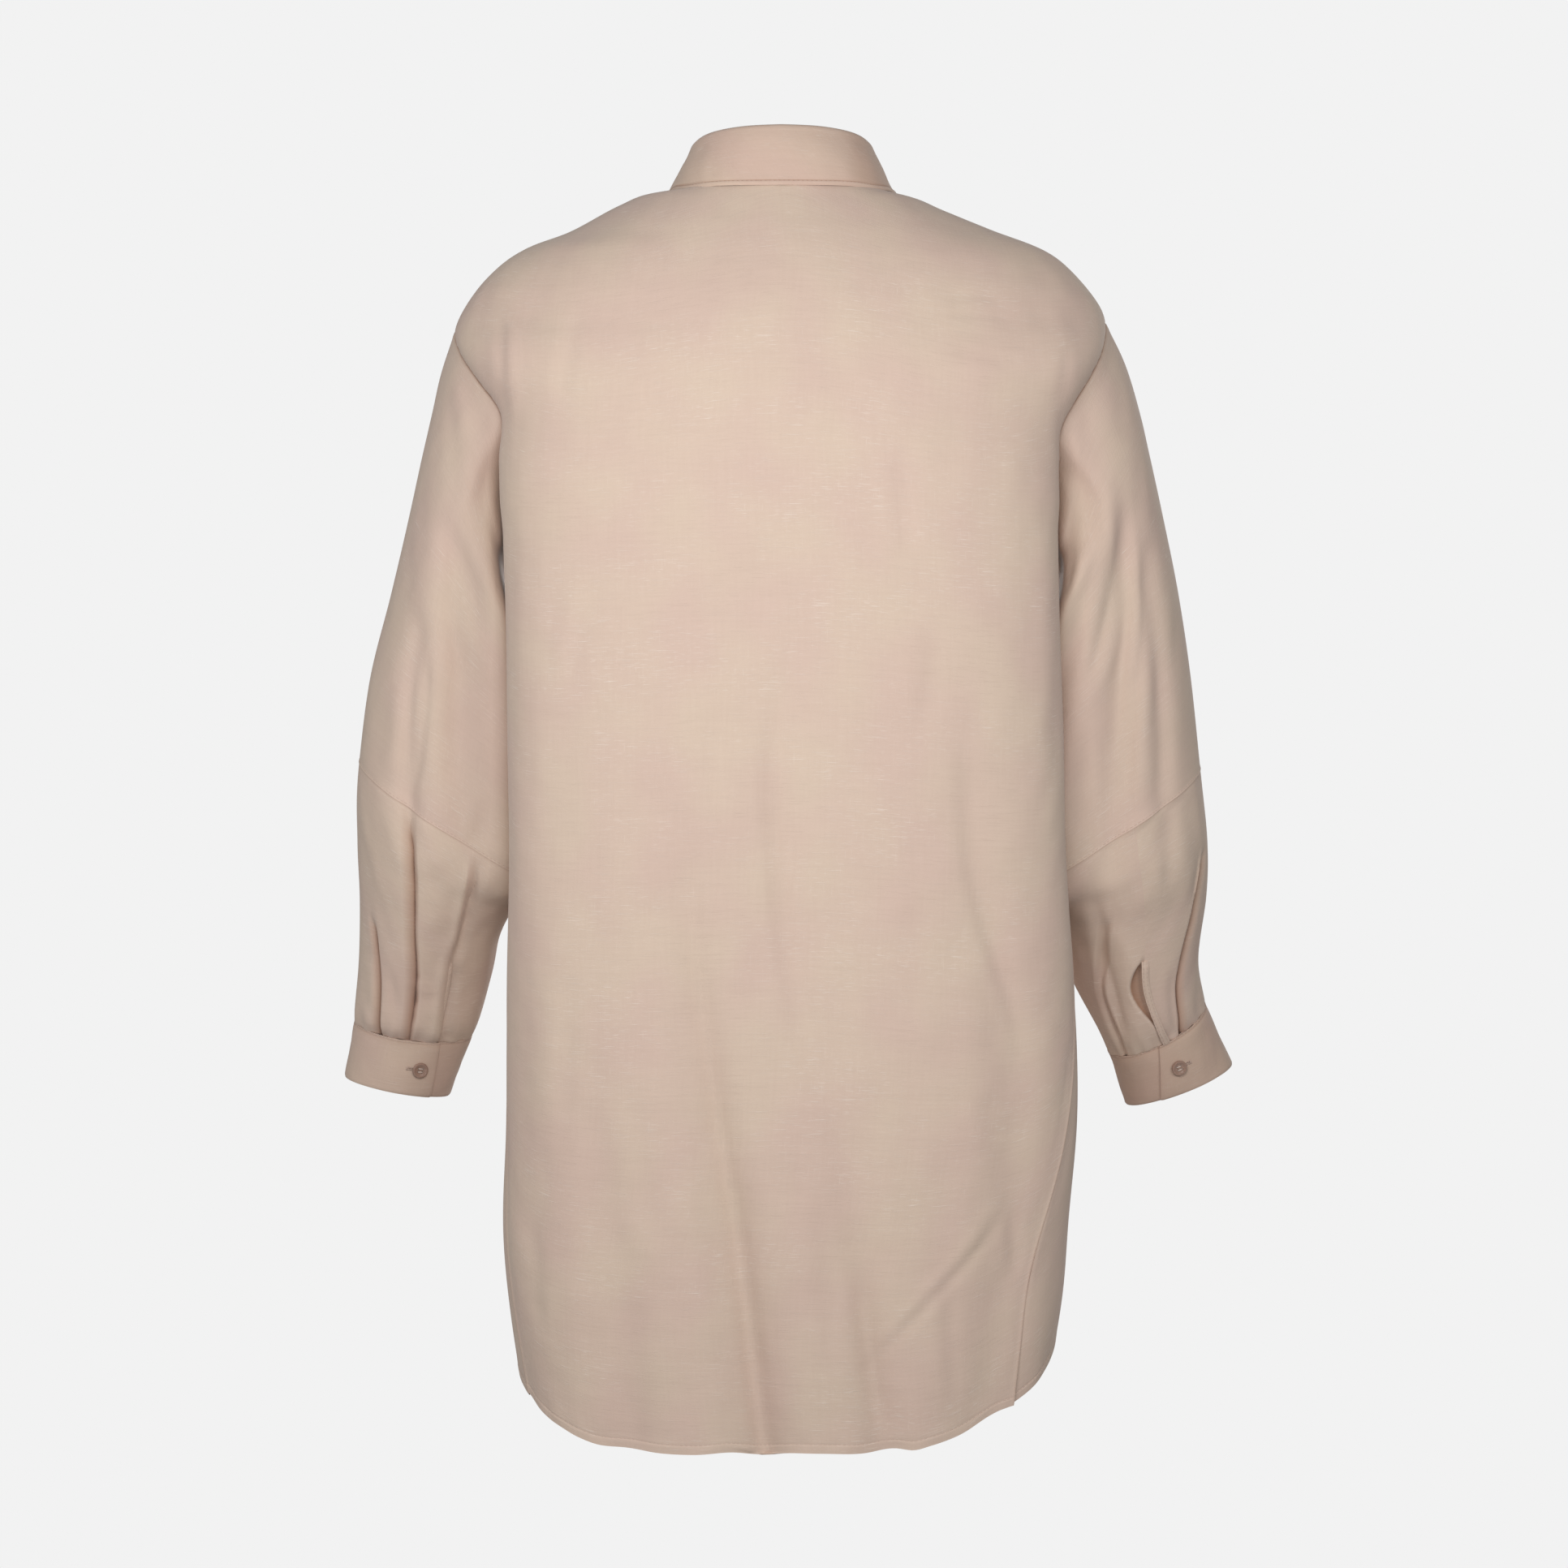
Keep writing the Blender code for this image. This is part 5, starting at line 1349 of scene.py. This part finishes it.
def along_path(path, outs, pitch):
    """Middles, directions and outward sides at even steps along a path."""
    length = np.concatenate([[0], np.cumsum(np.linalg.norm(np.diff(path, axis=0), axis=1))])
    at = np.arange(pitch / 2, length[-1], pitch)

    def values(rows, places):
        return np.stack([np.interp(places, length, rows[:, k]) for k in range(3)], -1)

    along = values(path, at + pitch / 4) - values(path, at - pitch / 4)
    along /= np.linalg.norm(along, axis=1, keepdims=True)
    out = values(outs, at)
    out -= along * np.sum(out * along, axis=1, keepdims=True)
    return values(path, at), along, out / np.linalg.norm(out, axis=1, keepdims=True)


def sew(piece, lines, thick):
    """Stitches along grid lines of a piece, given as indices of its grid."""
    points, outs = cloth_pieces[piece + "_cloth"]["points"], cloth_pieces[piece + "_cloth"]["outs"]
    found = [along_path(points[line], outs[line], STITCH + STITCH_GAP) for line in lines]
    middle, along, out = (np.concatenate([f[k] for f in found]) for k in range(3))
    middle = middle + out * (thick / 2 + THREAD * 0.2)
    return thread_mesh(piece + "_stitches", middle, along, out, np.full(len(middle), STITCH), THREAD)


def nearest(values, value):
    """The index of the value nearest to another."""
    return int(np.argmin(np.abs(values - value)))


print("stitches to a metre:", round(1 / (STITCH + STITCH_GAP)))

# %% Lay the stitches
ELBOW_SEW = 0.0017  # above the sleeve's lower edge
hem_row = nearest(HEM_LINES, HEM_WIDTH)
seams = {"back": [np.s_[hem_row, :]]}
for side in SIDES:
    seams["front_" + side] = [np.s_[hem_row, :], np.s_[hem_row:, nearest(from_edge, STAND)]]
seams["collar_leaf"] = [np.s_[-1 - nearest(LEAF_LINES, EDGE_SEW), 3:-3]]
for side in SIDES:
    seams["slit_binding_" + side] = [np.s_[:, 2], np.s_[:, 6]]
    seams["sleeve_upper_" + side] = [np.s_[-1 - nearest(FINE, ELBOW_SEW), :]]
    seams["cuff_" + side] = [np.s_[nearest(CUFF_TOP, CUFF_SEW), 3:-3]]
sewing = {
    piece: sew(piece, lines, BAND if piece.startswith(("collar", "cuff")) else THICK)
    for piece, lines in seams.items()
}
print("stitch objects:", len(sewing))

# %% [markdown]
# ## Buttons and buttonholes
# Shirt buttons are turned from horn-coloured resin: a raised stepped rim, a dished middle and four holes,
# sewn on with thread that is paler than the button. One button is made from its profile and copied, as they
# all come off one tool. A worked buttonhole is a slit between two rows of dense thread.

# %% Button places
BUTTON_WIDTH = 0.0115
BUTTON_HEIGHT = 0.0026
FRONT_BUTTONS = 8
FIRST_BUTTON = -0.112
BUTTON_STEP = 0.086
CUFF_BUTTON = {"left": 108, "right": 82}
BUTTON_LIFT = 0.0009  # its back stands this far off the front's surface, or off a band's
BAND_LIFT = 0.0011
NEAR_ALONG = 0.05
NEAR_ANGLE = 2


def front_point(level, angle):
    """A point of the upper front."""
    return torso("front", level, angle, LAYER)


def place_on(surface, along, angle, inside, lift, way_down=False):
    """A button's place on a surface: its origin, the direction of its buttonhole and the outward side."""
    point = surface(along, angle)
    down = surface(along + NEAR_ALONG, angle) - surface(along - NEAR_ALONG, angle)
    across = surface(along, angle + NEAR_ANGLE) - surface(along, angle - NEAR_ANGLE)
    out = np.cross(down, across)
    out = out / np.linalg.norm(out) * np.sign(out.dot(point - inside))
    way = down if way_down else across
    way = way - out * way.dot(out)
    return point + out * lift, way / np.linalg.norm(way), out


places = {}
levels_at = np.linspace(0, 3, 601)
heights = front_point(levels_at, 180)[:, 2]
for k in range(FRONT_BUTTONS):
    level = np.interp(FIRST_BUTTON - k * BUTTON_STEP, heights, levels_at)
    place = place_on(front_point, level, 180, np.zeros(3), BUTTON_LIFT, way_down=True)
    places[f"button_front_{k + 1}"] = place
for side in SIDES:
    turned = sum(CUFF_END[side]) / 2 - CUFF_BUTTON[side]
    inside = sleeve(side, 2.5, (0, 180)).mean(axis=0)
    places["button_cuff_" + side] = place_on(partial(cuff_points, side), 0.5, turned, inside, BAND_LIFT)
angle = np.array([-180.0])
low, high = neck(angle)[0], stand_top(angle)[0]
out = -np.array([0, high[2] - low[2], low[1] - high[1]])
out /= np.linalg.norm(out)
middle = (low + high) / 2 + outward(angle)[0] * LAYER + out * BAND_LIFT
places["button_collar"] = (middle, np.array([1.0, 0, 0]), out)
print("buttons to place:", len(places))

# %% Turn the buttons
# The button's profile from its back to its face, in half-widths and heights.
PROFILE = (
    (0, 0.15), (0.82, 0.0), (0.95, 0.12), (1, 0.4), (0.985, 0.72), (0.93, 0.93), (0.84, 1), (0.76, 0.96),
    (0.72, 0.86), (0.66, 0.84), (0.61, 0.78), (0.56, 0.66), (0.3, 0.6), (0, 0.58),
)
BUTTON_SIDES = 40
BUTTON_SHARP = math.radians(35)
HOLE = 0.00085
HOLE_ASIDE = 0.00125


def button_master():
    """A button with four holes, as a mesh round the origin with its face up."""
    turns = np.arange(BUTTON_SIDES) * math.tau / BUTTON_SIDES
    points = [(0, 0, PROFILE[0][1] * BUTTON_HEIGHT)]
    for r, z in PROFILE[1:-1]:
        r = r * BUTTON_WIDTH / 2
        points += [(r * math.cos(t), r * math.sin(t), z * BUTTON_HEIGHT) for t in turns]
    points.append((0, 0, PROFILE[-1][1] * BUTTON_HEIGHT))
    count, rings = BUTTON_SIDES, len(PROFILE) - 2
    faces = [(0, 1 + (k + 1) % count, 1 + k) for k in range(count)]
    for r in range(rings - 1):
        a, b = 1 + r * count, 1 + (r + 1) * count
        faces += [(a + k, a + (k + 1) % count, b + (k + 1) % count, b + k) for k in range(count)]
    last = 1 + (rings - 1) * count
    faces += [(last + k, last + (k + 1) % count, len(points) - 1) for k in range(count)]
    mesh = bpy.data.meshes.new("button_master")
    mesh.from_pydata(points, [], faces)
    obj = add_object("button_master", mesh)
    cutters = []
    for x in (-HOLE_ASIDE, HOLE_ASIDE):
        for y in (-HOLE_ASIDE, HOLE_ASIDE):
            bpy.ops.mesh.primitive_cylinder_add(vertices=16, radius=HOLE, depth=0.01, location=(x, y, 0.001))
            cutters.append(bpy.context.object)
            cut = obj.modifiers.new("hole", "BOOLEAN")
            cut.operation, cut.object, cut.solver = "DIFFERENCE", bpy.context.object, "EXACT"
    bpy.context.view_layer.update()
    done = bpy.data.meshes.new_from_object(obj.evaluated_get(bpy.context.evaluated_depsgraph_get()))
    for extra in cutters + [obj]:
        bpy.data.objects.remove(extra)
    return done


master = button_master()
buttons = {}
for name, (point, way, out) in places.items():
    mesh = master.copy()
    turn = Matrix([[*row] for row in np.stack([way, np.cross(out, way), out], 1)]).to_4x4()
    turn.translation = Vector(point)
    mesh.transform(turn)
    mesh.shade_smooth()
    mesh.set_sharp_from_angle(angle=BUTTON_SHARP)
    buttons[name] = add_object(name + "_turned", mesh)
print("button triangles:", sum(len(f.vertices) - 2 for f in master.polygons))

# %% Buttonholes and the buttons' thread
HOLE_LENGTH = 0.0135
CUFF_SHIFT = 0.0025  # a pulled cuff holds its button off the middle of the buttonhole
ROW_BARS = 24
ROW_ASIDE = 0.00075
END_BARS = 3
ROW_LENGTH = 0.0012  # of the bars in the rows, and of those at both ends
END_LENGTH = 0.0026
END_GAP = 0.0006
END_STEP = 0.0004
HOLE_SUNK = 0.0004  # the buttonhole's threads lie this far below the button's back
BAR_THREAD = 0.00026
BUTTON_THREAD = 0.00022
THREAD_JOGS = (-0.0003, 0, 0.0003)  # three threads lie side by side through each pair of holes
THREAD_HEIGHT = 0.66  # of the button's height
THREAD_OVER = 0.0012  # a thread is this much longer than its holes are apart
rods, bars = [], []
for name, (point, way, out) in places.items():
    side_way = np.cross(out, way)
    for aside in (-HOLE_ASIDE, HOLE_ASIDE):
        for jog in THREAD_JOGS:
            middle = point + out * (BUTTON_HEIGHT * THREAD_HEIGHT) + side_way * (aside + jog)
            rods.append((middle, way, out, 2 * HOLE_ASIDE + THREAD_OVER))
    base = point - out * HOLE_SUNK
    shift = CUFF_SHIFT if "cuff" in name else 0.0
    for k in range(ROW_BARS):
        x = (k / (ROW_BARS - 1) - 0.5) * HOLE_LENGTH + shift
        for aside in (-ROW_ASIDE, ROW_ASIDE):
            bars.append((base + way * x + side_way * aside, side_way, out, ROW_LENGTH))
    for end in (-0.5, 0.5):
        for k in range(END_BARS):
            x = end * (HOLE_LENGTH + END_GAP + k * END_STEP) + shift
            bars.append((base + way * x, side_way, out, END_LENGTH))
button_thread = thread_mesh("button_thread", *map(np.array, zip(*rods)), BUTTON_THREAD)
buttonholes = thread_mesh("buttonholes", *map(np.array, zip(*bars)), BAR_THREAD)
print("rods:", len(rods), len(bars))

# %% [markdown]
# ## Cloth, thread and resin
# The cloth is a plain weave with slubs: thicker, paler bits of weft that show as short streaks. A photo of
# cloth could be wrapped on, but it would have an edge and a scale of its own, so streaks come from noise
# stretched along the weft. A second noise makes them come in patches, and fine ripples of thread give the
# Shade in pleats, seams, stitch lines and the open slit, and over the cuffs and collar, is painted into the
# colour: each shell carries a painted shade value, which mixes in a warm dark brown.

# %% Nodes
def set_inputs(tree, node, values):
    """Set inputs of a node, by name or number, to constants or to links from other nodes' sockets."""
    for key, value in values.items():
        if isinstance(value, bpy.types.NodeSocket):
            tree.links.new(value, node.inputs[key])
        else:
            node.inputs[key].default_value = value
    return node


def add_node(tree, kind, values=(), **settings):
    """A shader node with its settings and inputs."""
    node = tree.nodes.new("ShaderNode" + kind)
    for name, value in settings.items():
        setattr(node, name, value)
    return set_inputs(tree, node, dict(values))


def make_material(name, values):
    """A material, its node tree and its shader, with some of the shader's inputs set."""
    material = bpy.data.materials.new(name)
    material.use_nodes = True
    tree = material.node_tree
    return material, tree, set_inputs(tree, tree.nodes["Principled BSDF"], values)


def streaks(tree, size, detail, low, high, at=(0, 0, 0)):
    """Noise of the UV map in metres, stretched by size, and brought from low..high to 0..1."""
    place = add_node(tree, "TexCoord").outputs["UV"]
    stretch = add_node(tree, "Mapping", {"Vector": place, "Scale": (*size, 1), "Location": at})
    placed = {"Vector": stretch.outputs["Vector"], "Scale": 1}
    noise = add_node(tree, "TexNoise", placed | {"Detail": detail, "Roughness": 0.55})
    span = add_node(tree, "MapRange", {"Value": noise.outputs["Fac"], "From Min": low, "From Max": high})
    return span.outputs["Result"]


def times(tree, a, b):
    """A product of a socket with another one or with a number."""
    return add_node(tree, "Math", {0: a, 1: b}, operation="MULTIPLY").outputs[0]


def plus(tree, a, b):
    """A sum of two sockets."""
    return add_node(tree, "Math", {0: a, 1: b}, operation="ADD").outputs[0]


def tinted(tree, colour, with_colour, factor):
    """A colour or a socket mixed with a colour by a factor."""
    return add_node(tree, "Mix", {0: factor, 6: colour, 7: with_colour}, data_type="RGBA").outputs[2]


# %% Materials
CLOTH_CREAM = (0.655, 0.528, 0.432, 1)
CLOTH_ROSE = (0.640, 0.492, 0.420, 1)
CLOTH_PALE = (0.82, 0.73, 0.66, 1)
CLOTH_DARK = (0.50, 0.370, 0.300, 1)
# the warm dark brown of painted shade, mixed in by each shell's painted shade value
CLOTH_PAINTED_SHADE = (0.345, 0.18, 0.11, 1)
# Each kind of streak: how many to a metre along weft and warp, its detail, the noise that counts as nothing
# and as the whole, and how far its noise is moved, so that no two kinds fall on each other.
STREAKS = {
    "rows": ((28, 380), 2, 0.35, 0.70),
    "columns": ((420, 30), 2, 0.35, 0.70, (2, 7, 0)),
    "broad": ((17, 13), 1, 0.35, 0.65, (3, 1, 0)),
    "slubs": ((52, 1500), 1, 0.635, 0.70),
    "short": ((110, 1600), 1, 0.635, 0.71, (7, 5, 0)),
    "upright": ((1600, 80), 1, 0.67, 0.75, (4, 3, 0)),
    "patches": ((11, 19), 2, 0.38, 0.62, (1, 9, 0)),
    "grain": ((700, 1500), 2, 0.25, 0.75),
}
THREAD_TINTS = (("rows", 0.10), ("columns", 0.08), ("grain", 0.12))
SLUB_TINTS = (("slubs", 0.48), ("short", 0.38), ("upright", 0.24))
RELIEF = (("rows", 0.5), ("columns", 0.4))


def cloth_material():
    """Slubbed plain weave."""
    finish = {"Roughness": 0.82, "Sheen Weight": 0.2, "Sheen Roughness": 0.5, "Specular IOR Level": 0.2}
    material, tree, shader = make_material("slubbed_cloth", finish)
    noise = {name: streaks(tree, *row) for name, row in STREAKS.items()}
    colour = tinted(tree, CLOTH_ROSE, CLOTH_CREAM, noise["broad"])
    for name, part in THREAD_TINTS:
        colour = tinted(tree, colour, CLOTH_DARK, times(tree, noise[name], part))
    for name, part in SLUB_TINTS:
        patchy = times(tree, noise[name], noise["patches"])
        colour = tinted(tree, colour, CLOTH_PALE, times(tree, patchy, part))
    # painted shade: a warm dark brown wherever the shell's painted shade value says so
    shade = add_node(tree, "Attribute", attribute_name="painted_shade")
    colour = tinted(tree, colour, CLOTH_PAINTED_SHADE, shade.outputs["Fac"])
    height = plus(tree, times(tree, noise["grain"], 0.6), noise["slubs"])
    for name, part in RELIEF:
        height = plus(tree, height, times(tree, noise[name], part))
    bump = add_node(tree, "Bump", {"Strength": 0.5, "Distance": 0.00016, "Height": height})
    set_inputs(tree, shader, {"Base Color": colour, "Normal": bump.outputs["Normal"]})
    return material


def plain_material(name, colour, roughness):
    """Thread or resin: one colour with fine darker flecks."""
    material, tree, shader = make_material(name, {"Roughness": roughness})
    place = add_node(tree, "TexCoord").outputs["Object"]
    noise = add_node(tree, "TexNoise", {"Vector": place, "Scale": 900})
    dark = tuple(0.75 * c for c in colour[:3]) + (1,)
    set_inputs(tree, shader, {"Base Color": tinted(tree, colour, dark, noise.outputs["Fac"])})
    return material


cloth = cloth_material()
thread = plain_material("sewing_thread", (0.62, 0.47, 0.40, 1), 0.7)
pale_thread = plain_material("button_sewing_thread", (0.72, 0.60, 0.53, 1), 0.7)
resin = plain_material("button_resin", (0.36, 0.23, 0.18, 1), 0.32)
print("materials:", [material.name for material in (cloth, thread, pale_thread, resin)])

# %% [markdown]
# ## Each piece in its node's place
# Every cloth piece takes the place of one solid and moves with the root. Sewing goes with the cloth it holds.


def finish(obj, material, slot):
    """Give a piece its material and let it move with the root. The slot is not used."""
    obj.data.materials.append(material)
    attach(obj, "root")


for piece, info in cloth_pieces.items():
    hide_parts(piece.removesuffix("_cloth"))
    finish(info["object"], cloth, "cloth")
for obj in sewing.values():
    finish(obj, thread, "cloth")
finish(button_thread, pale_thread, "cloth")
finish(buttonholes, thread, "cloth")
for node, obj in buttons.items():
    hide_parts(node)
    finish(obj, resin, "button")
for piece, info in cloth_pieces.items():
    node = piece.removesuffix("_cloth")
    across, down = grid_lengths(info["points"])

# %% [markdown]
# ## Studio
# A pale, even room, as for a catalogue picture. The world gives a soft, slightly warm light from all sides,
# and a Light Path node shows the camera a flat pale grey instead. The floor glows a little, so that it isn't
# a dark patch under the shirt. Five soft area lights, which the camera doesn't see, model the cloth: one
# close behind the back, one close before the chest, and three further off. The camera stands level behind
# the shirt. Spot lights would be simpler, but they'd draw hard edges on the folds.

# %% World and floor
world = bpy.data.worlds.new("studio")
world.use_nodes = True
bpy.context.scene.world = world
bpy.context.scene.view_settings.view_transform = "Standard"
tree = world.node_tree
soft = set_inputs(tree, tree.nodes["Background"], {"Color": (1, 0.962, 0.925, 1), "Strength": 0.22})
backdrop = add_node(tree, "Background", {"Color": (0.888, 0.888, 0.888, 1)})
camera_ray = add_node(tree, "LightPath").outputs["Is Camera Ray"]
mixed = add_node(tree, "MixShader", {0: camera_ray, 1: soft.outputs[0], 2: backdrop.outputs[0]})
set_inputs(tree, tree.nodes["World Output"], {"Surface": mixed.outputs[0]})

bpy.ops.mesh.primitive_circle_add(vertices=64, radius=2.5, fill_type="NGON", location=(0, 0, -1.45))
floor = bpy.context.object
floor.name = "floor"
floor_paint = {"Base Color": (0.75, 0.75, 0.75, 1), "Roughness": 0.9}
floor_glow = {"Emission Color": (1, 1, 1, 1), "Emission Strength": 0.45}
floor.data.materials.append(make_material("floor_paint", floor_paint | floor_glow)[0])
floor.visible_diffuse = False
print("light of the room:", round(soft.inputs["Strength"].default_value, 2))

# %% Lights and camera
LIGHT_COLOUR = (1, 0.99, 0.975)
# The lights: where each stands, where it points, how wide it is and its power in watts.
LIGHTS = {
    "near_light_behind": ((0.1, 1.3, -0.1), (0, 0, -0.2), 0.6, 10.5),
    "left_light": ((2.2, 0.8, -0.1), (0, 0, -0.3), 0.9, 12),
    "right_light": ((-1.3, 2.1, 0.1), (-0.12, 0, -0.2), 0.9, 15),
    "near_light_before": ((-0.1, -1.3, -0.1), (0, 0, -0.2), 0.6, 9),
    "front_light": ((-1.0, -2.2, 0.2), (0, 0, -0.3), 0.9, 13),
}
for name, (place, aim, size, power) in LIGHTS.items():
    light = bpy.data.lights.new(name, "AREA")
    light.shape, light.size, light.size_y = "RECTANGLE", size, size
    light.energy, light.color = power, LIGHT_COLOUR
    obj = add_object(name, light)
    obj.location = place
    obj.rotation_euler = (Vector(aim) - Vector(place)).to_track_quat("-Z", "Y").to_euler()
    obj.visible_camera = False

FRAME_SIZE = 1.1206  # metres that the square frame takes in at the shirt
camera_data = bpy.data.cameras.new("camera")
camera_data.sensor_width = 36
camera_data.lens = 36 * CAMERA[1] / FRAME_SIZE
camera_data.clip_start, camera_data.clip_end = 0.1, 50
camera = add_object("camera", camera_data)
camera.location = CAMERA
camera.rotation_euler = (math.pi / 2, 0, math.pi)
bpy.context.scene.camera = camera
print("lights:", len(LIGHTS), "lens:", round(camera_data.lens, 1), "mm")
